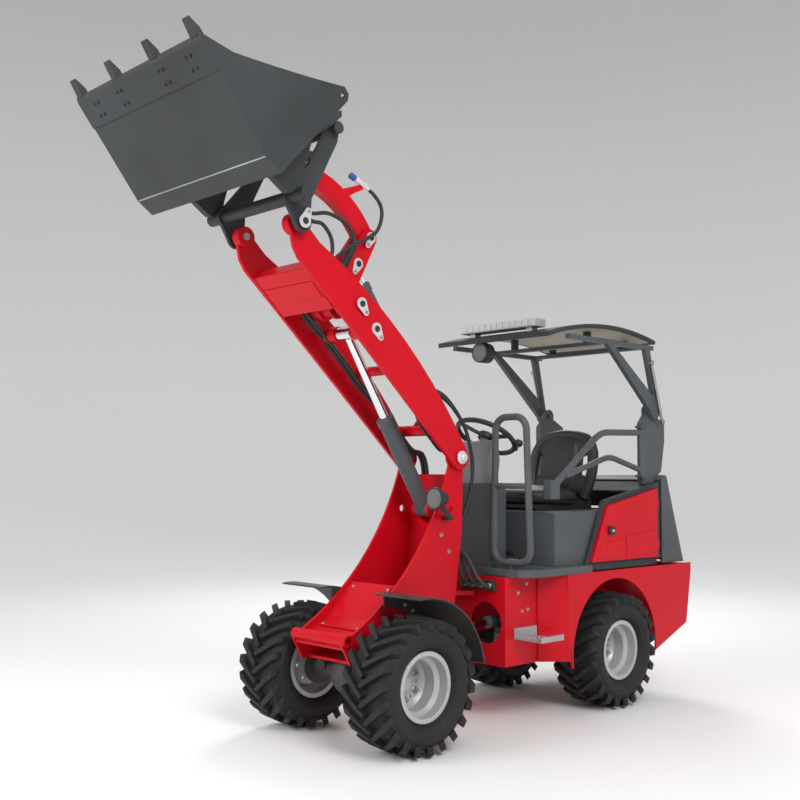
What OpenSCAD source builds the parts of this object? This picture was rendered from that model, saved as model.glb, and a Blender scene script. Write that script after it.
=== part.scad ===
// Compact articulated wheel loader with a raised boom, toothed bucket and folding canopy.
// Millimetres. +X is forward, +Y is the machine's left, +Z is up, the ground is Z = 0.

/* [Wheels and axles] */
// Distance between the front and rear axle centres
wheelbase = 1600; // [1500:10:1750]
// Distance between the left and right tyres' middle planes
track = 820; // [790:5:880]
// Outside diameter of a tyre over its lugs
tyre_d = 660; // [620:5:700]
// Width of a tyre
tyre_w = 300; // [260:5:320]
// Thickness of a tyre's wall
tyre_wall = 14; // [10:1:20]
// Number of lugs on each side of a tyre
lugs = 22; // [18:1:26]
// Height of a lug
lug_h = 30; // [22:1:36]
// Width of a lug
lug_w = 24; // [18:1:28]
// Outside diameter of a rim's flange
rim_d = 338; // [320:2:360]
// Width of a rim between the outsides of its flanges
rim_w = 222; // [190:2:240]
// Thickness of a rim's sheet
rim_t = 7; // [5:1:10]
// Radius of the stub shaft that carries a wheel
stub_r = 32; // [25:1:40]
// Radius of the axle tubes
axle_r = 52; // [45:1:60]

/* [Articulation and front frame] */
// Distance from the articulation pivot to the front axle
pivot_to_front = 660; // [640:5:700]
// Radius of the articulation pins
pivot_pin_r = 26; // [20:1:32]
// Distance from the middle to a tower plate's outer face
tower_out = 195; // [185:1:198]
// Thickness of the tower plates
tower_t = 15; // [10:1:20]
// Radius of the tower's hollow front edge
tower_arc_r = 1453; // [1400:5:1500]
// Inside radius of a front fender's sheet
fender_r = 398; // [385:1:420]
// Width of a front fender
fender_w = 330; // [280:5:345]

/* [Boom and linkage] */
// Height of the boom's pivot
boom_pivot_z = 1430; // [1400:5:1480]
// Distance from the front axle back to the boom's pivot
boom_pivot_back = 560; // [540:5:580]
// Length of the boom from its pivot to the pin at its tip
boom_len = 1573; // [1540:5:1620]
// Angle of the raised boom
boom_rise = 43.8; // [40:0.1:46]
// Distance from the middle to a boom plate's outer face
boom_out = 225; // [222:1:235]
// Thickness of the boom plates
boom_t = 20; // [15:1:22]
// Radius of the linkage pins
pin_r = 19; // [15:1:24]
// Radius of the lift cylinder's barrel
lift_r = 44; // [38:1:50]
// Radius of the tilt cylinder's barrel
tilt_r = 40; // [35:1:45]

/* [Bucket and hitch] */
// Width of the bucket
bucket_w = 1060; // [1000:10:1150]
// Length of the bucket's floor from its heel to the cutting edge
bucket_floor = 641; // [600:5:700]
// Height of the bucket's back above its floor
bucket_back = 597; // [560:5:640]
// Angle of the rolled back bucket's floor
bucket_roll = 52; // [45:0.5:55]
// Thickness of the bucket's sheet
bucket_t = 10; // [8:1:14]
// Number of teeth
teeth = 4; // [3:1:6]
// Reach of the teeth past the cutting edge
tooth_reach = 88; // [70:1:110]
// Distance from the middle to a hitch cheek's outer face
hitch_out = 275; // [270:1:290]

/* [Rear frame and body] */
// Distance from the middle to the front box's outer face
box_out = 370; // [350:2:380]
// Height of the frame's underside
frame_low = 312; // [300:2:330]
// Height of the frame's top, which carries the platform
frame_top = 788; // [780:2:800]
// Thickness of the frame's plates
frame_t = 12; // [8:1:16]
// Distance from the middle to the rear fenders' outer face
skin_out = 495; // [480:1:505]
// Radius of the rear wheel arches
arch_r = 410; // [395:1:420]
// Distance from the rear axle to the machine's rear end
rear_overhang = 820; // [800:5:860]
// Thickness of the platform
platform_t = 40; // [30:1:50]
// Thickness of the covers' sheet
sheet_t = 8; // [6:1:12]

/* [Canopy] */
// Height of the canopy's fold hinge
fold_z = 1735; // [1700:5:1760]
// Height of the roof's front edge
roof_z = 2119; // [2090:5:2150]
// Width of the roof
roof_w = 830; // [800:5:860]
// Radius of the canopy's tubes
canopy_tube_r = 21; // [18:1:25]
// Radius of the handrail's tube
rail_r = 19; // [15:1:22]

/* [Clearances] */
// Radial running clearance of pins and shafts
run_gap = 0.05; // [0.02:0.01:0.1]
// Gap between moving plates at a pivot
side_gap = 6; // [5:0.5:8]
// Gap between resting pieces that are seated on each other
seat_gap = 0.3; // [0.1:0.1:0.5]

/* [Hidden] */
$fn = 48;
RED = [0.80, 0.06, 0.10];
GREY = [0.24, 0.27, 0.29];
BLACK = [0.07, 0.07, 0.08];
SILVER = [0.74, 0.75, 0.76];
CHROME = [0.85, 0.86, 0.88];
STEEL = [0.45, 0.46, 0.48];
BEIGE = [0.62, 0.58, 0.50];

// Places along the machine, measured from the middle of the wheelbase
front_x = wheelbase / 2;
rear_x = -wheelbase / 2;
axle_z = tyre_d / 2;
pivot_x = front_x - pivot_to_front;
box_x = pivot_x - 92;
rear_end = rear_x - rear_overhang;
deck_z = frame_top + platform_t;

// The boom's pivot, its tip and the pins of its linkage, as [x, z]
O = [front_x - boom_pivot_back, boom_pivot_z];
T = O + boom_len * [cos(boom_rise), sin(boom_rise)];
function on_boom(s, h) = O + [s * cos(boom_rise) - h * sin(boom_rise), s * sin(boom_rise) + h * cos(boom_rise)];
function on_bucket(p) = T + [p[0] * cos(bucket_roll) - p[1] * sin(bucket_roll),
                             p[0] * sin(bucket_roll) + p[1] * cos(bucket_roll)];
crank_s = boom_len - 528;
crank_h = 37;
lift_s = boom_len - 685;
lift_h = 30;
crank_pin_at = on_boom(crank_s, crank_h);
lift_pin_at = on_boom(lift_s, lift_h);
lift_base = O + [45, -280];
tilt_s = 150;
tilt_h = 140;
tilt_base = on_boom(tilt_s, tilt_h);
crank_len = 447;
crank_lean = 118.7;
crank_eye = 0.623;
link_pin_at = crank_pin_at + crank_len * [cos(crank_lean), sin(crank_lean)];
tilt_pin_at = crank_pin_at + crank_len * crank_eye * [cos(crank_lean), sin(crank_lean)];
// The hitch's pins and tube in the level bucket's frame, from the boom's tip pin
hitch_link = [180, 305];
hitch_link_at = on_bucket(hitch_link);
hitch_tube = [121, 14];
hitch_tube_r = 32;
// The bucket's side outline in the same frame
heel = [288, -215];
lip = heel + [bucket_floor, 0];
crown = heel + [96, bucket_back];
tooth_tip = lip + [tooth_reach, 2];

// The machine is centred between its tooth tips and its rear end
front_end = on_bucket(tooth_tip)[0];
mid_x = -(front_end + rear_end) / 2;

// Steering cylinder, as [x, y] in the plane at its own height
steer_z = 535;
steer_base = [pivot_x - 455, 235];
steer_eye = [pivot_x + 95, 215];
// Canopy hinge, as [x, z]
fold = [rear_x - 500, fold_z];
post_y = 400;
post_t = 40;
bay_out = 455;
bay_front = rear_x + 240;
bay_rear = rear_x - 532;
bay_top = 1300;
box_back = bay_front + 190;

// Shifts the machine from the middle of its wheelbase to the middle of its length
module placed() translate([mid_x, 0, 0]) children();

// XZ outlines made into plates from y0 to y1
module upright(y0, y1) translate([0, y1, 0]) rotate([90, 0, 0])
    for (i = [0 : $children - 1]) linear_extrude(y1 - y0) children(i);

// The same on both sides of the machine
module both() {
    children();
    mirror([0, 1, 0]) children();
}

// A round bar along Y, at an [x, z] place
module bar(at, r, y0, y1) translate([at[0], y0, at[1]]) rotate([-90, 0, 0]) cylinder(r = r, h = y1 - y0);

// A round bar between two points
module strut(a, b, r) {
    v = b - a;
    translate(a) rotate([0, acos(v[2] / norm(v)), atan2(v[1], v[0])]) cylinder(r = r, h = norm(v));
}

// Points of the arc through three points, from the first to the last
function arc(p, q, r, n = 10) =
    let (a = q - p, b = r - p, d = 2 * (a[0] * b[1] - a[1] * b[0]),
         c = p + [b[1] * (a * a) - a[1] * (b * b), a[0] * (b * b) - b[0] * (a * a)] / d,
         radius = norm(p - c), from = atan2(p[1] - c[1], p[0] - c[0]),
         turn = atan2(r[1] - c[1], r[0] - c[0]) - from, sweep = turn > 180 ? turn - 360 : turn < -180 ? turn + 360 : turn)
    [for (i = [0 : n]) c + radius * [cos(from + sweep * i / n), sin(from + sweep * i / n)]];

function along(v) = v / norm(v);

// A tube through a list of points, its straight lengths let into round bends that are a little thicker
sleeve_lap = 3;
sleeve_t = 0.4;
module tube(points, r, bend) {
    last = len(points) - 1;
    cut = [for (i = [0 : last]) i == 0 || i == last ? 0 :
        bend * tan(acos(along(points[i] - points[i - 1]) * along(points[i + 1] - points[i])) / 2)];
    for (i = [0 : last - 1]) {
        d = along(points[i + 1] - points[i]);
        strut(points[i] + d * (i == 0 ? 0 : cut[i] - sleeve_lap),
            points[i + 1] - d * (i == last - 1 ? 0 : cut[i + 1] - sleeve_lap), r);
    }
    for (i = [1 : 1 : last - 1]) {
        d = along(points[i] - points[i - 1]);
        e = along(points[i + 1] - points[i]);
        turn = acos(d * e);
        n = along(cross(d, e));
        out = cross(d, n);
        c = points[i] - d * cut[i] - out * bend;
        multmatrix([[out[0], d[0], n[0], c[0]], [out[1], d[1], n[1], c[1]], [out[2], d[2], n[2], c[2]], [0, 0, 0, 1]])
            rotate_extrude(angle = turn) translate([bend, 0]) circle(r + sleeve_t);
    }
}

// Rear half of the machine

module frame_outline_arch() translate([rear_x + 5, axle_z]) circle(arch_r, $fn = 96);

rail_y = 230;
rail_low = 402;
yoke_r = 72;
yoke_t = 25;
knuckle_t = 30;
knuckle_low = 445;
knuckle_high = 640;
hole_r = 112;

module rear_frame() color(RED) placed() {
    difference() {
        union() {
            // front plate
            translate([box_x - frame_t, -box_out, frame_low]) cube([frame_t, 2 * box_out, frame_top - frame_low]);
            // sides of the front box, closed ahead of the wheels
            both() translate([box_back, box_out - frame_t, frame_low])
                cube([box_x - box_back, frame_t, frame_top - frame_low]);
            both() translate([box_back, rail_y - frame_t, frame_low])
                cube([frame_t, box_out - rail_y + frame_t, frame_top - frame_low]);
            translate([box_back, -box_out, frame_low])
                cube([box_x - box_back, 2 * box_out, frame_t]);
            // long rails over the axle
            both() upright(rail_y - frame_t, rail_y) polygon([[box_back + 5, rail_low], [box_back + 5, frame_top],
                [rear_end + 60, frame_top], [rear_end + 60, rail_low + 40], [rear_end + 160, rail_low]]);
            translate([rear_end + 140, -rail_y, frame_top - 170]) cube([frame_t, 2 * rail_y, 170]);
            // saddle over the rear axle
            translate([rear_x - 70, -rail_y, rail_low]) cube([140, 2 * rail_y, frame_t]);
            // yoke of the articulation
            for (z = [knuckle_low - side_gap - yoke_t, knuckle_high + knuckle_t + side_gap])
                translate([0, 0, z]) linear_extrude(yoke_t) {
                    translate([pivot_x, 0]) circle(yoke_r);
                    polygon([[box_x - 2, -150], [pivot_x, -yoke_r], [pivot_x, yoke_r], [box_x - 2, 150]]);
                }
            // lug of the steering cylinder's base
            for (z = [steer_z - 58, steer_z + 38]) translate([0, steer_base[1], z]) linear_extrude(20) {
                translate([steer_base[0], 0]) circle(34);
                translate([box_back + 2, -34]) square([steer_base[0] - box_back - 2, 68]);
            }
        }
        translate([rear_x, 0, axle_z]) sphere(r = diff_r + side_gap);
        // opening that the steering cylinder passes through
        translate([box_x - frame_t - 1, steer_base[1] - 5, steer_z]) rotate([0, 90, 0]) cylinder(r = hole_r, h = frame_t + 2);
        translate([pivot_x, 0, knuckle_low - side_gap - yoke_t - 1]) cylinder(r = pivot_pin_r + seat_gap, h = 400);
        translate([steer_base[0], steer_base[1], steer_z - 70]) cylinder(r = pin_r + run_gap, h = 140);
    }
}

skin_t = 10;
flare_x = bay_front + 340;

module rear_fenders() color(RED) placed() both() {
    upright(skin_out - skin_t, skin_out) difference() {
        polygon([[bay_front + 185, frame_low - 40], [bay_front + 225, frame_top], [rear_end + 5, frame_top],
                 [rear_end + 5, frame_top - 55], [rear_end + 65, frame_low + 106], [rear_x - 350, frame_low - 50]]);
        frame_outline_arch();
    }
    // wheel tunnel
    intersection() {
        upright(rail_y + 1, skin_out - skin_t + 1) difference() {
            translate([rear_x + 5, axle_z]) circle(arch_r + skin_t, $fn = 96);
            translate([rear_x + 5, axle_z]) circle(arch_r + 3, $fn = 96);
        }
        translate([rear_x - 1000, 0, frame_low + 40]) cube([2000, 600, frame_top - frame_low - 40]);
    }
    // flare from the front box out to the skin
    translate([0, 0, frame_low]) linear_extrude(frame_top - frame_low)
        polygon([[flare_x, box_out + seat_gap], [flare_x, box_out + 8], [bay_front + 215, skin_out],
                 [bay_front + 195, skin_out], [bay_front + 195, skin_out - skin_t], [flare_x - 20, box_out + seat_gap]]);
}

hood_low = frame_top + 8;
hood_hinge = [rear_end + 48, hood_low + 10];
hood_lug_y = [310, 340];
hinge_r = 9;

module counterweight() color(RED) placed() difference() {
    union() {
        upright(-skin_out + skin_t + seat_gap, skin_out - skin_t - seat_gap)
            polygon([[rear_end, frame_top - 52], [rear_end + 58, frame_low + 118], [rear_end + 60 - seat_gap, frame_low + 118],
                     [rear_end + 60 - seat_gap, frame_top - 5], [rear_end, frame_top - 5]]);
        // lugs of the rear hood
        both() upright(hood_lug_y[0], hood_lug_y[1]) {
            translate(hood_hinge) circle(2 * hinge_r);
            polygon([hood_hinge + [-2 * hinge_r, 0], hood_hinge + [-2 * hinge_r, -30], hood_hinge + [10, -30], hood_hinge + [2 * hinge_r, 0]]);
        }
    }
    bar(hood_hinge, hinge_r + run_gap, -400, 400);
}

module pivot_pins() color(STEEL) placed() for (z = [knuckle_low - side_gap - yoke_t - 8, knuckle_high - 8])
    translate([pivot_x, 0, z]) {
        cylinder(r = pivot_pin_r, h = knuckle_t + side_gap + yoke_t + 16);
    }

hub_in = 118;
diff_r = 118;
hub_face = track / 2 - hub_in;

// An axle beam with its differential, its seats and the stub shafts of its wheels
module axle(seat_y, seat_top) {
    bar([0, axle_z], axle_r, -hub_face + 20, hub_face - 20);
    translate([0, 0, axle_z]) sphere(r = diff_r);
    translate([0, 40, axle_z]) rotate([0, 90, 0]) cylinder(r = 46, h = 170, center = true);
    both() {
        bar([0, axle_z], 88, hub_face - 34, hub_face - 4);
        bar([0, axle_z], stub_r, hub_face - 30, track / 2 - 28);
        translate([-62, seat_y - 30, axle_z]) cube([124, 60, seat_top - seat_gap - axle_z]);
    }
}

module rear_axle() color(STEEL) placed() translate([rear_x, 0, 0]) axle(rail_y - frame_t - 20, rail_low);
module front_axle() color(STEEL) placed() translate([front_x, 0, 0]) axle(tower_out - 8, tower_low);

module engine() color(BLACK) placed() {
    translate([rear_x - 560, -200, rail_low + 90]) cube([520, 400, 560]);
    both() translate([rear_x - 500, 190, rail_low + 110]) cube([380, rail_y - frame_t - 190, 60]);
}

deck_front = box_x - 30;
// Lip by which the deck stands out over the rear skin
deck_lip = 5;
deck_half = skin_out + deck_lip;

module platform() color(GREY) placed() difference() {
    translate([0, 0, frame_top]) linear_extrude(platform_t) polygon([[deck_front, -deck_half + 60], [deck_front, deck_half - 60],
        [deck_front - 60, deck_half], [bay_front, deck_half], [bay_front, bay_out - 20], [bay_rear + 10, bay_out - 20],
        [bay_rear + 10, -bay_out + 20], [bay_front, -bay_out + 20], [bay_front, -deck_half], [deck_front - 60, -deck_half]]);
    // open over the engine
    translate([rear_x - 600, -215, frame_top - 1]) cube([rear_x - bay_rear + 600 - 60 + 200, 430, platform_t + 2]);
}

cowl_x = deck_front - 48;
cowl_top = 1290;

module cowl() color(GREY) placed() difference() {
    translate([cowl_x - 130, -200, deck_z]) cube([130, 400, cowl_top - deck_z]);
    translate([cowl_x - 131, -200 + sheet_t, deck_z - 1]) cube([131 - sheet_t, 400 - 2 * sheet_t, cowl_top - deck_z - sheet_t + 1]);
}

module dashboard() color(BLACK) placed() {
    upright(-140, 140) polygon([[cowl_x - 20, cowl_top], [cowl_x - 30, 1400], [cowl_x - 90, 1530], [cowl_x - 130, 1535],
        [cowl_x - 150, 1420], [cowl_x - 128, cowl_top]]);
    // steering column
    strut(wheel_at - 120 * wheel_dir, wheel_at - (20 + seat_gap) * wheel_dir, 26);
}

wheel_lean = 32;
wheel_dir = [-sin(wheel_lean), 0, cos(wheel_lean)];
wheel_at = [cowl_x - 190, 0, 1560];

module steering_wheel() color(BLACK) placed() translate(wheel_at) rotate([0, -wheel_lean, 0]) {
    rotate_extrude() translate([175, 0]) circle(15);
    translate([0, 0, -20]) cylinder(r = 45, h = 34);
    for (a = [90 : 120 : 330]) rotate([0, 0, a]) translate([0, -14, -8]) cube([176, 28, 12]);
}

rail_x = deck_front - 50;
rail_low_z = deck_z + 34;
rail_top = 1655;
rail_foot = 350;

module handrail() color(GREY) placed() {
    // loop, closed by a sleeve with a foot on the platform
    tube([[rail_x, rail_foot - 15, rail_low_z], [rail_x, 222, rail_low_z], [rail_x, 238, rail_top], [rail_x, 455, rail_top],
          [rail_x, 482, rail_low_z], [rail_x, rail_foot + 15, rail_low_z]], rail_r, 75);
    strut([rail_x, rail_foot - 30, rail_low_z], [rail_x, rail_foot + 30, rail_low_z], rail_r + 3);
    translate([rail_x, rail_foot, deck_z]) cylinder(r = 14, h = rail_low_z - deck_z);
    // bar from the cowl across the loop
    strut([rail_x - 20, 200 + seat_gap, cowl_top - 12], [rail_x - 20, 230, cowl_top - 12], rail_r - 3);
    strut([rail_x, 226, cowl_top - 12], [rail_x, 468, cowl_top - 12], rail_r - 3);
}

box_front = bay_front + 255;
box_top = 1130;
box_half = 430;

module seat_box() color(GREY) placed() difference() {
    translate([bay_front - 330, -box_half, deck_z]) cube([box_front - bay_front + 330, 2 * box_half, box_top - deck_z]);
    translate([bay_front - 331, -box_half + sheet_t, deck_z - 1])
        cube([box_front - bay_front + 331 - sheet_t, 2 * box_half - 2 * sheet_t, box_top - deck_z - sheet_t + 1]);
}

seat_front = box_front - 120;

module seat() color(BLACK) placed() difference() {
    upright(-235, 235) polygon(concat([[seat_front, box_top + seat_gap], [seat_front + 18, box_top + 50], [seat_front - 20, box_top + 105]],
        arc([seat_front - 300, box_top + 90], [seat_front - 395, box_top + 110], [seat_front - 440, box_top + 180], 4),
        [[seat_front - 520, box_top + 470], [seat_front - 580, box_top + 480], [seat_front - 600, box_top + 440],
         [seat_front - 540, box_top + 60], [seat_front - 520, box_top + seat_gap]]));
    both() translate([seat_front - 520, 95, box_top + 230]) rotate([0, -14, 0]) cube([240, 75, 130], center = true);
}

module joystick_console() color(BLACK) placed() {
    translate([seat_front - 330, -330, box_top + seat_gap]) cube([330, 55, 70]);
    strut([seat_front - 60, -302, box_top + 60], [seat_front - 40, -302, box_top + 190], 9);
    translate([seat_front - 40, -302, box_top + 200]) sphere(r = 24);
}

// Outline of the engine bay's side, as [x, z]
bay_side = [[bay_front, deck_z], [bay_front - 170, 1190], [bay_rear, bay_top], [bay_rear, deck_z]];
cover_inset = 32;
cover_rear = bay_rear + 60;
cover_side = [[bay_front - 30, deck_z + 12], [bay_front - 190, 1160], [cover_rear, 1258], [cover_rear, deck_z + 12]];
cover_t = 22;

module engine_bay() color(GREY) placed() {
    difference() {
        upright(-bay_out, bay_out) polygon(bay_side);
        // inside of the bay
        upright(-bay_out + sheet_t, bay_out - sheet_t) polygon([[bay_front - sheet_t, deck_z - 1], [bay_front - 176, 1190 - sheet_t],
            [bay_rear - 1, bay_top - sheet_t], [bay_rear - 1, deck_z - 1]]);
        // room for the seat and its box
        translate([bay_front - 480, -box_half - side_gap, deck_z - 1]) cube([535, 2 * box_half + 2 * side_gap, 800]);
        // openings behind the side covers
        upright(-bay_out - 1, bay_out + 1) polygon([[bay_front - 60, deck_z + 40], [bay_front - 205, 1130], [cover_rear + 30, 1215],
            [cover_rear + 30, deck_z + 40]]);
    }
    // hinge pins of the side covers
    both() for (z = cover_knuckles) translate([cover_hinge[0], cover_hinge[1], z - 14]) {
        translate([-8, bay_out - 1 - cover_hinge[1], 0]) cube([16, cover_hinge[1] - bay_out + 7, 10]);
        translate([0, 0, 5]) cylinder(r = cover_pin_r, h = 54);
    }
}

cover_y = bay_out + seat_gap;
cover_pin_r = 5;
cover_hinge = [cover_rear - 12, cover_y + cover_t / 2];
cover_knuckles = [deck_z + 60, 1130];
knuckle_h = 60;

module side_cover() {
    difference() {
        union() {
            upright(cover_y, cover_y + cover_t) polygon(cover_side);
            for (z = cover_knuckles) {
                translate([cover_hinge[0], cover_hinge[1], z]) cylinder(r = hinge_r, h = knuckle_h);
                translate([cover_hinge[0], cover_hinge[1] - 4, z]) cube([14, 8, knuckle_h]);
            }
        }
        for (z = cover_knuckles) translate([cover_hinge[0], cover_hinge[1], z - 1]) cylinder(r = cover_pin_r + run_gap, h = knuckle_h + 2);
    }
    // lock
    translate([bay_front - 215, cover_y + cover_t - 1, 1015]) rotate([-90, 0, 0]) cylinder(r = 20, h = 12);
}

module side_cover_left() color(RED) placed() side_cover();
module side_cover_right() color(RED) placed() mirror([0, 1, 0]) side_cover();

hood_front = bay_rear - side_gap;

module rear_hood() color(GREY) placed() {
    difference() {
        upright(-bay_out - 10, bay_out + 10) polygon(concat([[hood_front, hood_low], [hood_front, bay_top + 12], [hood_front - 45, bay_top + 40]],
            arc([hood_front - 62, bay_top + 25], [hood_front - 150, 1060], [rear_end + 40, hood_low], 6)));
        upright(-bay_out - 10 + sheet_t, bay_out + 10 - sheet_t) polygon(concat([[hood_front + 1, hood_low - 1], [hood_front + 1, bay_top + 12 - sheet_t]],
            arc([hood_front - 52, bay_top + 18], [hood_front - 141, 1060], [rear_end + 52, hood_low - 1], 6)));
        // slots of the grille
        for (z = [880 : 40 : 1120]) translate([rear_end - 50, -230, z]) cube([260, 460, 14]);
        // room for the hinge's lugs
        both() bar(hood_hinge, 2 * hinge_r + side_gap, hood_lug_y[0] - side_gap, hood_lug_y[1] + side_gap);
    }
    both() bar(hood_hinge, hinge_r, hood_lug_y[0] - side_gap - 12, hood_lug_y[1] + side_gap + 12);
}

gate_x = fold[0] + 125;
gate_y = 425;
gate_lugs = [1326, 1628];
lug_t = 16;

module rops_posts() color(GREY) placed() difference() {
    union() {
        both() difference() {
            upright(post_y - post_t / 2, post_y + post_t / 2) {
                polygon([[fold[0] + 95, 1284], [fold[0] + 95, 1660], [fold[0] + 44, fold_z - 20], [fold[0] - 44, fold_z - 20],
                         [fold[0] - 150, 1662], [fold[0] - 150, 1560], [hood_front - 70, bay_top + 62], [hood_front + 12, bay_top + 16],
                         [hood_front + 12, bay_top - 6]]);
                translate(fold) circle(46);
            }
            // the foot follows the bay's top
            upright(0, 600) polygon([[bay_front - 170, 1190 + seat_gap], [bay_rear, bay_top + seat_gap], [bay_rear, 1000], [bay_front, 1000]]);
        }
        // lugs of the gate
        for (z = gate_lugs) translate([fold[0] + 90, gate_y - 24, z]) cube([gate_x - fold[0] - 90 + 22, 46, lug_t]);
    }
    bar(fold, pin_r + run_gap, -600, 600);
    translate([gate_x, gate_y, gate_lugs[0] - 1]) cylinder(r = rail_r - 3 + run_gap, h = gate_lugs[1] - gate_lugs[0] + lug_t + 2);
}

leg_y = post_y + post_t / 2 + side_gap;
leg_t = 30;
roof_front = rear_x + 535;
roof_rear = rear_x - 545;

module canopy_frame() color(GREY) placed() {
    both() {
        upright(leg_y, leg_y + leg_t) {
            translate(fold) circle(44);
            polygon([fold + [-30, 0], fold + [30, -20], [rear_x + 5, roof_z - 2], [rear_x - 55, roof_z - 2], fold + [20, 90],
                     [rear_x - 395, roof_z - 2], [rear_x - 445, roof_z - 2]]);
        }
        bar(fold, pin_r, post_y - post_t / 2 - 12, leg_y + 2);
        translate([roof_rear + 60, leg_y, roof_z - 2]) cube([roof_front - roof_rear - 220, leg_t, 28]);
    }
    for (x = [rear_x - 25, rear_x - 420]) translate([x - 20, -leg_y - 1, roof_z + 2]) cube([40, 2 * leg_y + 2, 22]);
}

// The roof's crown rises between its front and rear edges
roof_top = arc([roof_front, roof_z + 28], [rear_x + 80, roof_z + 112], [roof_rear, roof_z + 66], 12);
roof_under = arc([roof_rear, roof_z + 44], [rear_x + 80, roof_z + 88], [roof_front, roof_z], 12);

module roof_shell() upright(-roof_w / 2 - 15, roof_w / 2 + 15) polygon(concat(roof_top, roof_under));

module roof() color(GREY) placed() {
    roof_shell();
    // seats of the canopy's cross bars
    for (x = [rear_x - 25, rear_x - 420]) for (y = [-300, 270]) translate([x - 20, y, roof_z + 24]) cube([40, 30, 78]);
}

module light_bar() color(SILVER) placed() difference() {
    union() {
        translate([roof_front - 150, -290, roof_z + 76]) cube([95, 580, 46]);
        for (y = [-240, 200]) translate([roof_front - 135, y, roof_z + 52]) cube([50, 40, 26]);
    }
    translate([0, 0, seat_gap]) roof_shell();
}

roof_lamp_y = -105;

module roof_lamp() color(BLACK) placed() difference() {
    union() {
        translate([roof_front - 60, roof_lamp_y, roof_z - 52]) rotate([0, 90, 0]) cylinder(r = 60, h = 60, center = true);
        translate([roof_front - 75, roof_lamp_y - 12, roof_z - 5]) cube([30, 24, 45]);
    }
    translate([0, 0, -seat_gap]) roof_shell();
}

stay_y = leg_y + leg_t + 12;
stay_low = fold + [-52, -62];
stay_high = fold + [62, 300];

module canopy_stays() color(SILVER) placed() both() {
    strut([stay_low[0], stay_y, stay_low[1]], [stay_high[0], stay_y, stay_high[1]], 9);
    bar(stay_low, 16, stay_y - 11, stay_y + 11);
    bar(stay_high, 16, leg_y + leg_t, stay_y + 11);
}

module gate() color(GREY) placed() {
    strut([gate_x, gate_y, gate_lugs[0] - 5], [gate_x, gate_y, gate_lugs[1] + lug_t + 5], rail_r - 3);
    tube([[gate_x, gate_y, 1600], [gate_x + 420, gate_y, 1590], [gate_x + 880, gate_y, 1265]], rail_r, 240);
    tube([[gate_x, gate_y - 4, 1370], [gate_x + 330, gate_y - 4, 1450], [gate_x + 760, gate_y - 4, 1330]], rail_r - 2, 240);
    translate([gate_x + 845, gate_y - 25, 1204]) cube([80, 50, 106]);
}

step_z = frame_low + 140;
step_len = 190;

module step() color(SILVER) placed() difference() {
    union() {
        translate([box_x - 262, box_out + seat_gap, step_z]) cube([step_len, 190, 5]);
        translate([box_x - 262, box_out + seat_gap, step_z]) cube([step_len, 5, 60]);
        translate([box_x - 262, box_out + 185, step_z]) cube([step_len, 5, 30]);
    }
    for (x = [-237 : 42 : -90]) for (y = [40 : 42 : 160]) translate([box_x + x, box_out + y, step_z - 10]) cylinder(r = 12, h = 30);
}

module coupler_block() color(BLACK) placed() {
    translate([box_x + seat_gap, 70, 712]) cube([22, 240, 56]);
    for (y = [110 : 60 : 290]) translate([box_x + 20, y, 740]) rotate([0, 90, 0]) cylinder(r = 17, h = 18);
}

steer_barrel_r = 36;
steer_barrel_len = 345;
steer_dir = along([steer_eye[0] - steer_base[0], steer_eye[1] - steer_base[1], 0]);
steer_a = [steer_base[0], steer_base[1], steer_z];
steer_b = [steer_eye[0], steer_eye[1], steer_z];

module steer_barrel() color(GREY) placed() difference() {
    union() {
        translate(steer_a - [0, 0, 32]) cylinder(r = 36, h = 64);
        strut(steer_a, steer_a + steer_barrel_len * steer_dir, steer_barrel_r - 2);
        translate(steer_a - [0, 0, 64]) cylinder(r = pin_r, h = 128);
    }
    strut(steer_a + 36 * steer_dir, steer_a + (steer_barrel_len + 1) * steer_dir, 17 + run_gap);
}
module steer_rod() color(CHROME) placed() {
    strut(steer_a + 190 * steer_dir, steer_b - 12 * steer_dir, 17);
    translate(steer_b - [0, 0, 22]) cylinder(r = 22, h = 44);
}

// Front half of the machine

tower_low = 402;
tower_arc_c = O + [1442, 399];

module tower_outline() {
    difference() {
        polygon([[pivot_x + 114, tower_low + 40], [pivot_x + 114, 650], [O[0] - 41, O[1] - 390], [O[0] - 50, O[1]],
                 [front_x + 245, O[1]], [front_x + 245, 505], [front_x + 185, tower_low], [front_x - 110, tower_low],
                 [front_x - 150, tower_low + 40]]);
        translate(tower_arc_c) circle(tower_arc_r, $fn = 180);
    }
    translate(O) circle(70);
}

tower_in = tower_out - tower_t;
nose_at = [front_x + 215, 530];
nose_bore = 20;
lug_y = 62;

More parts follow.
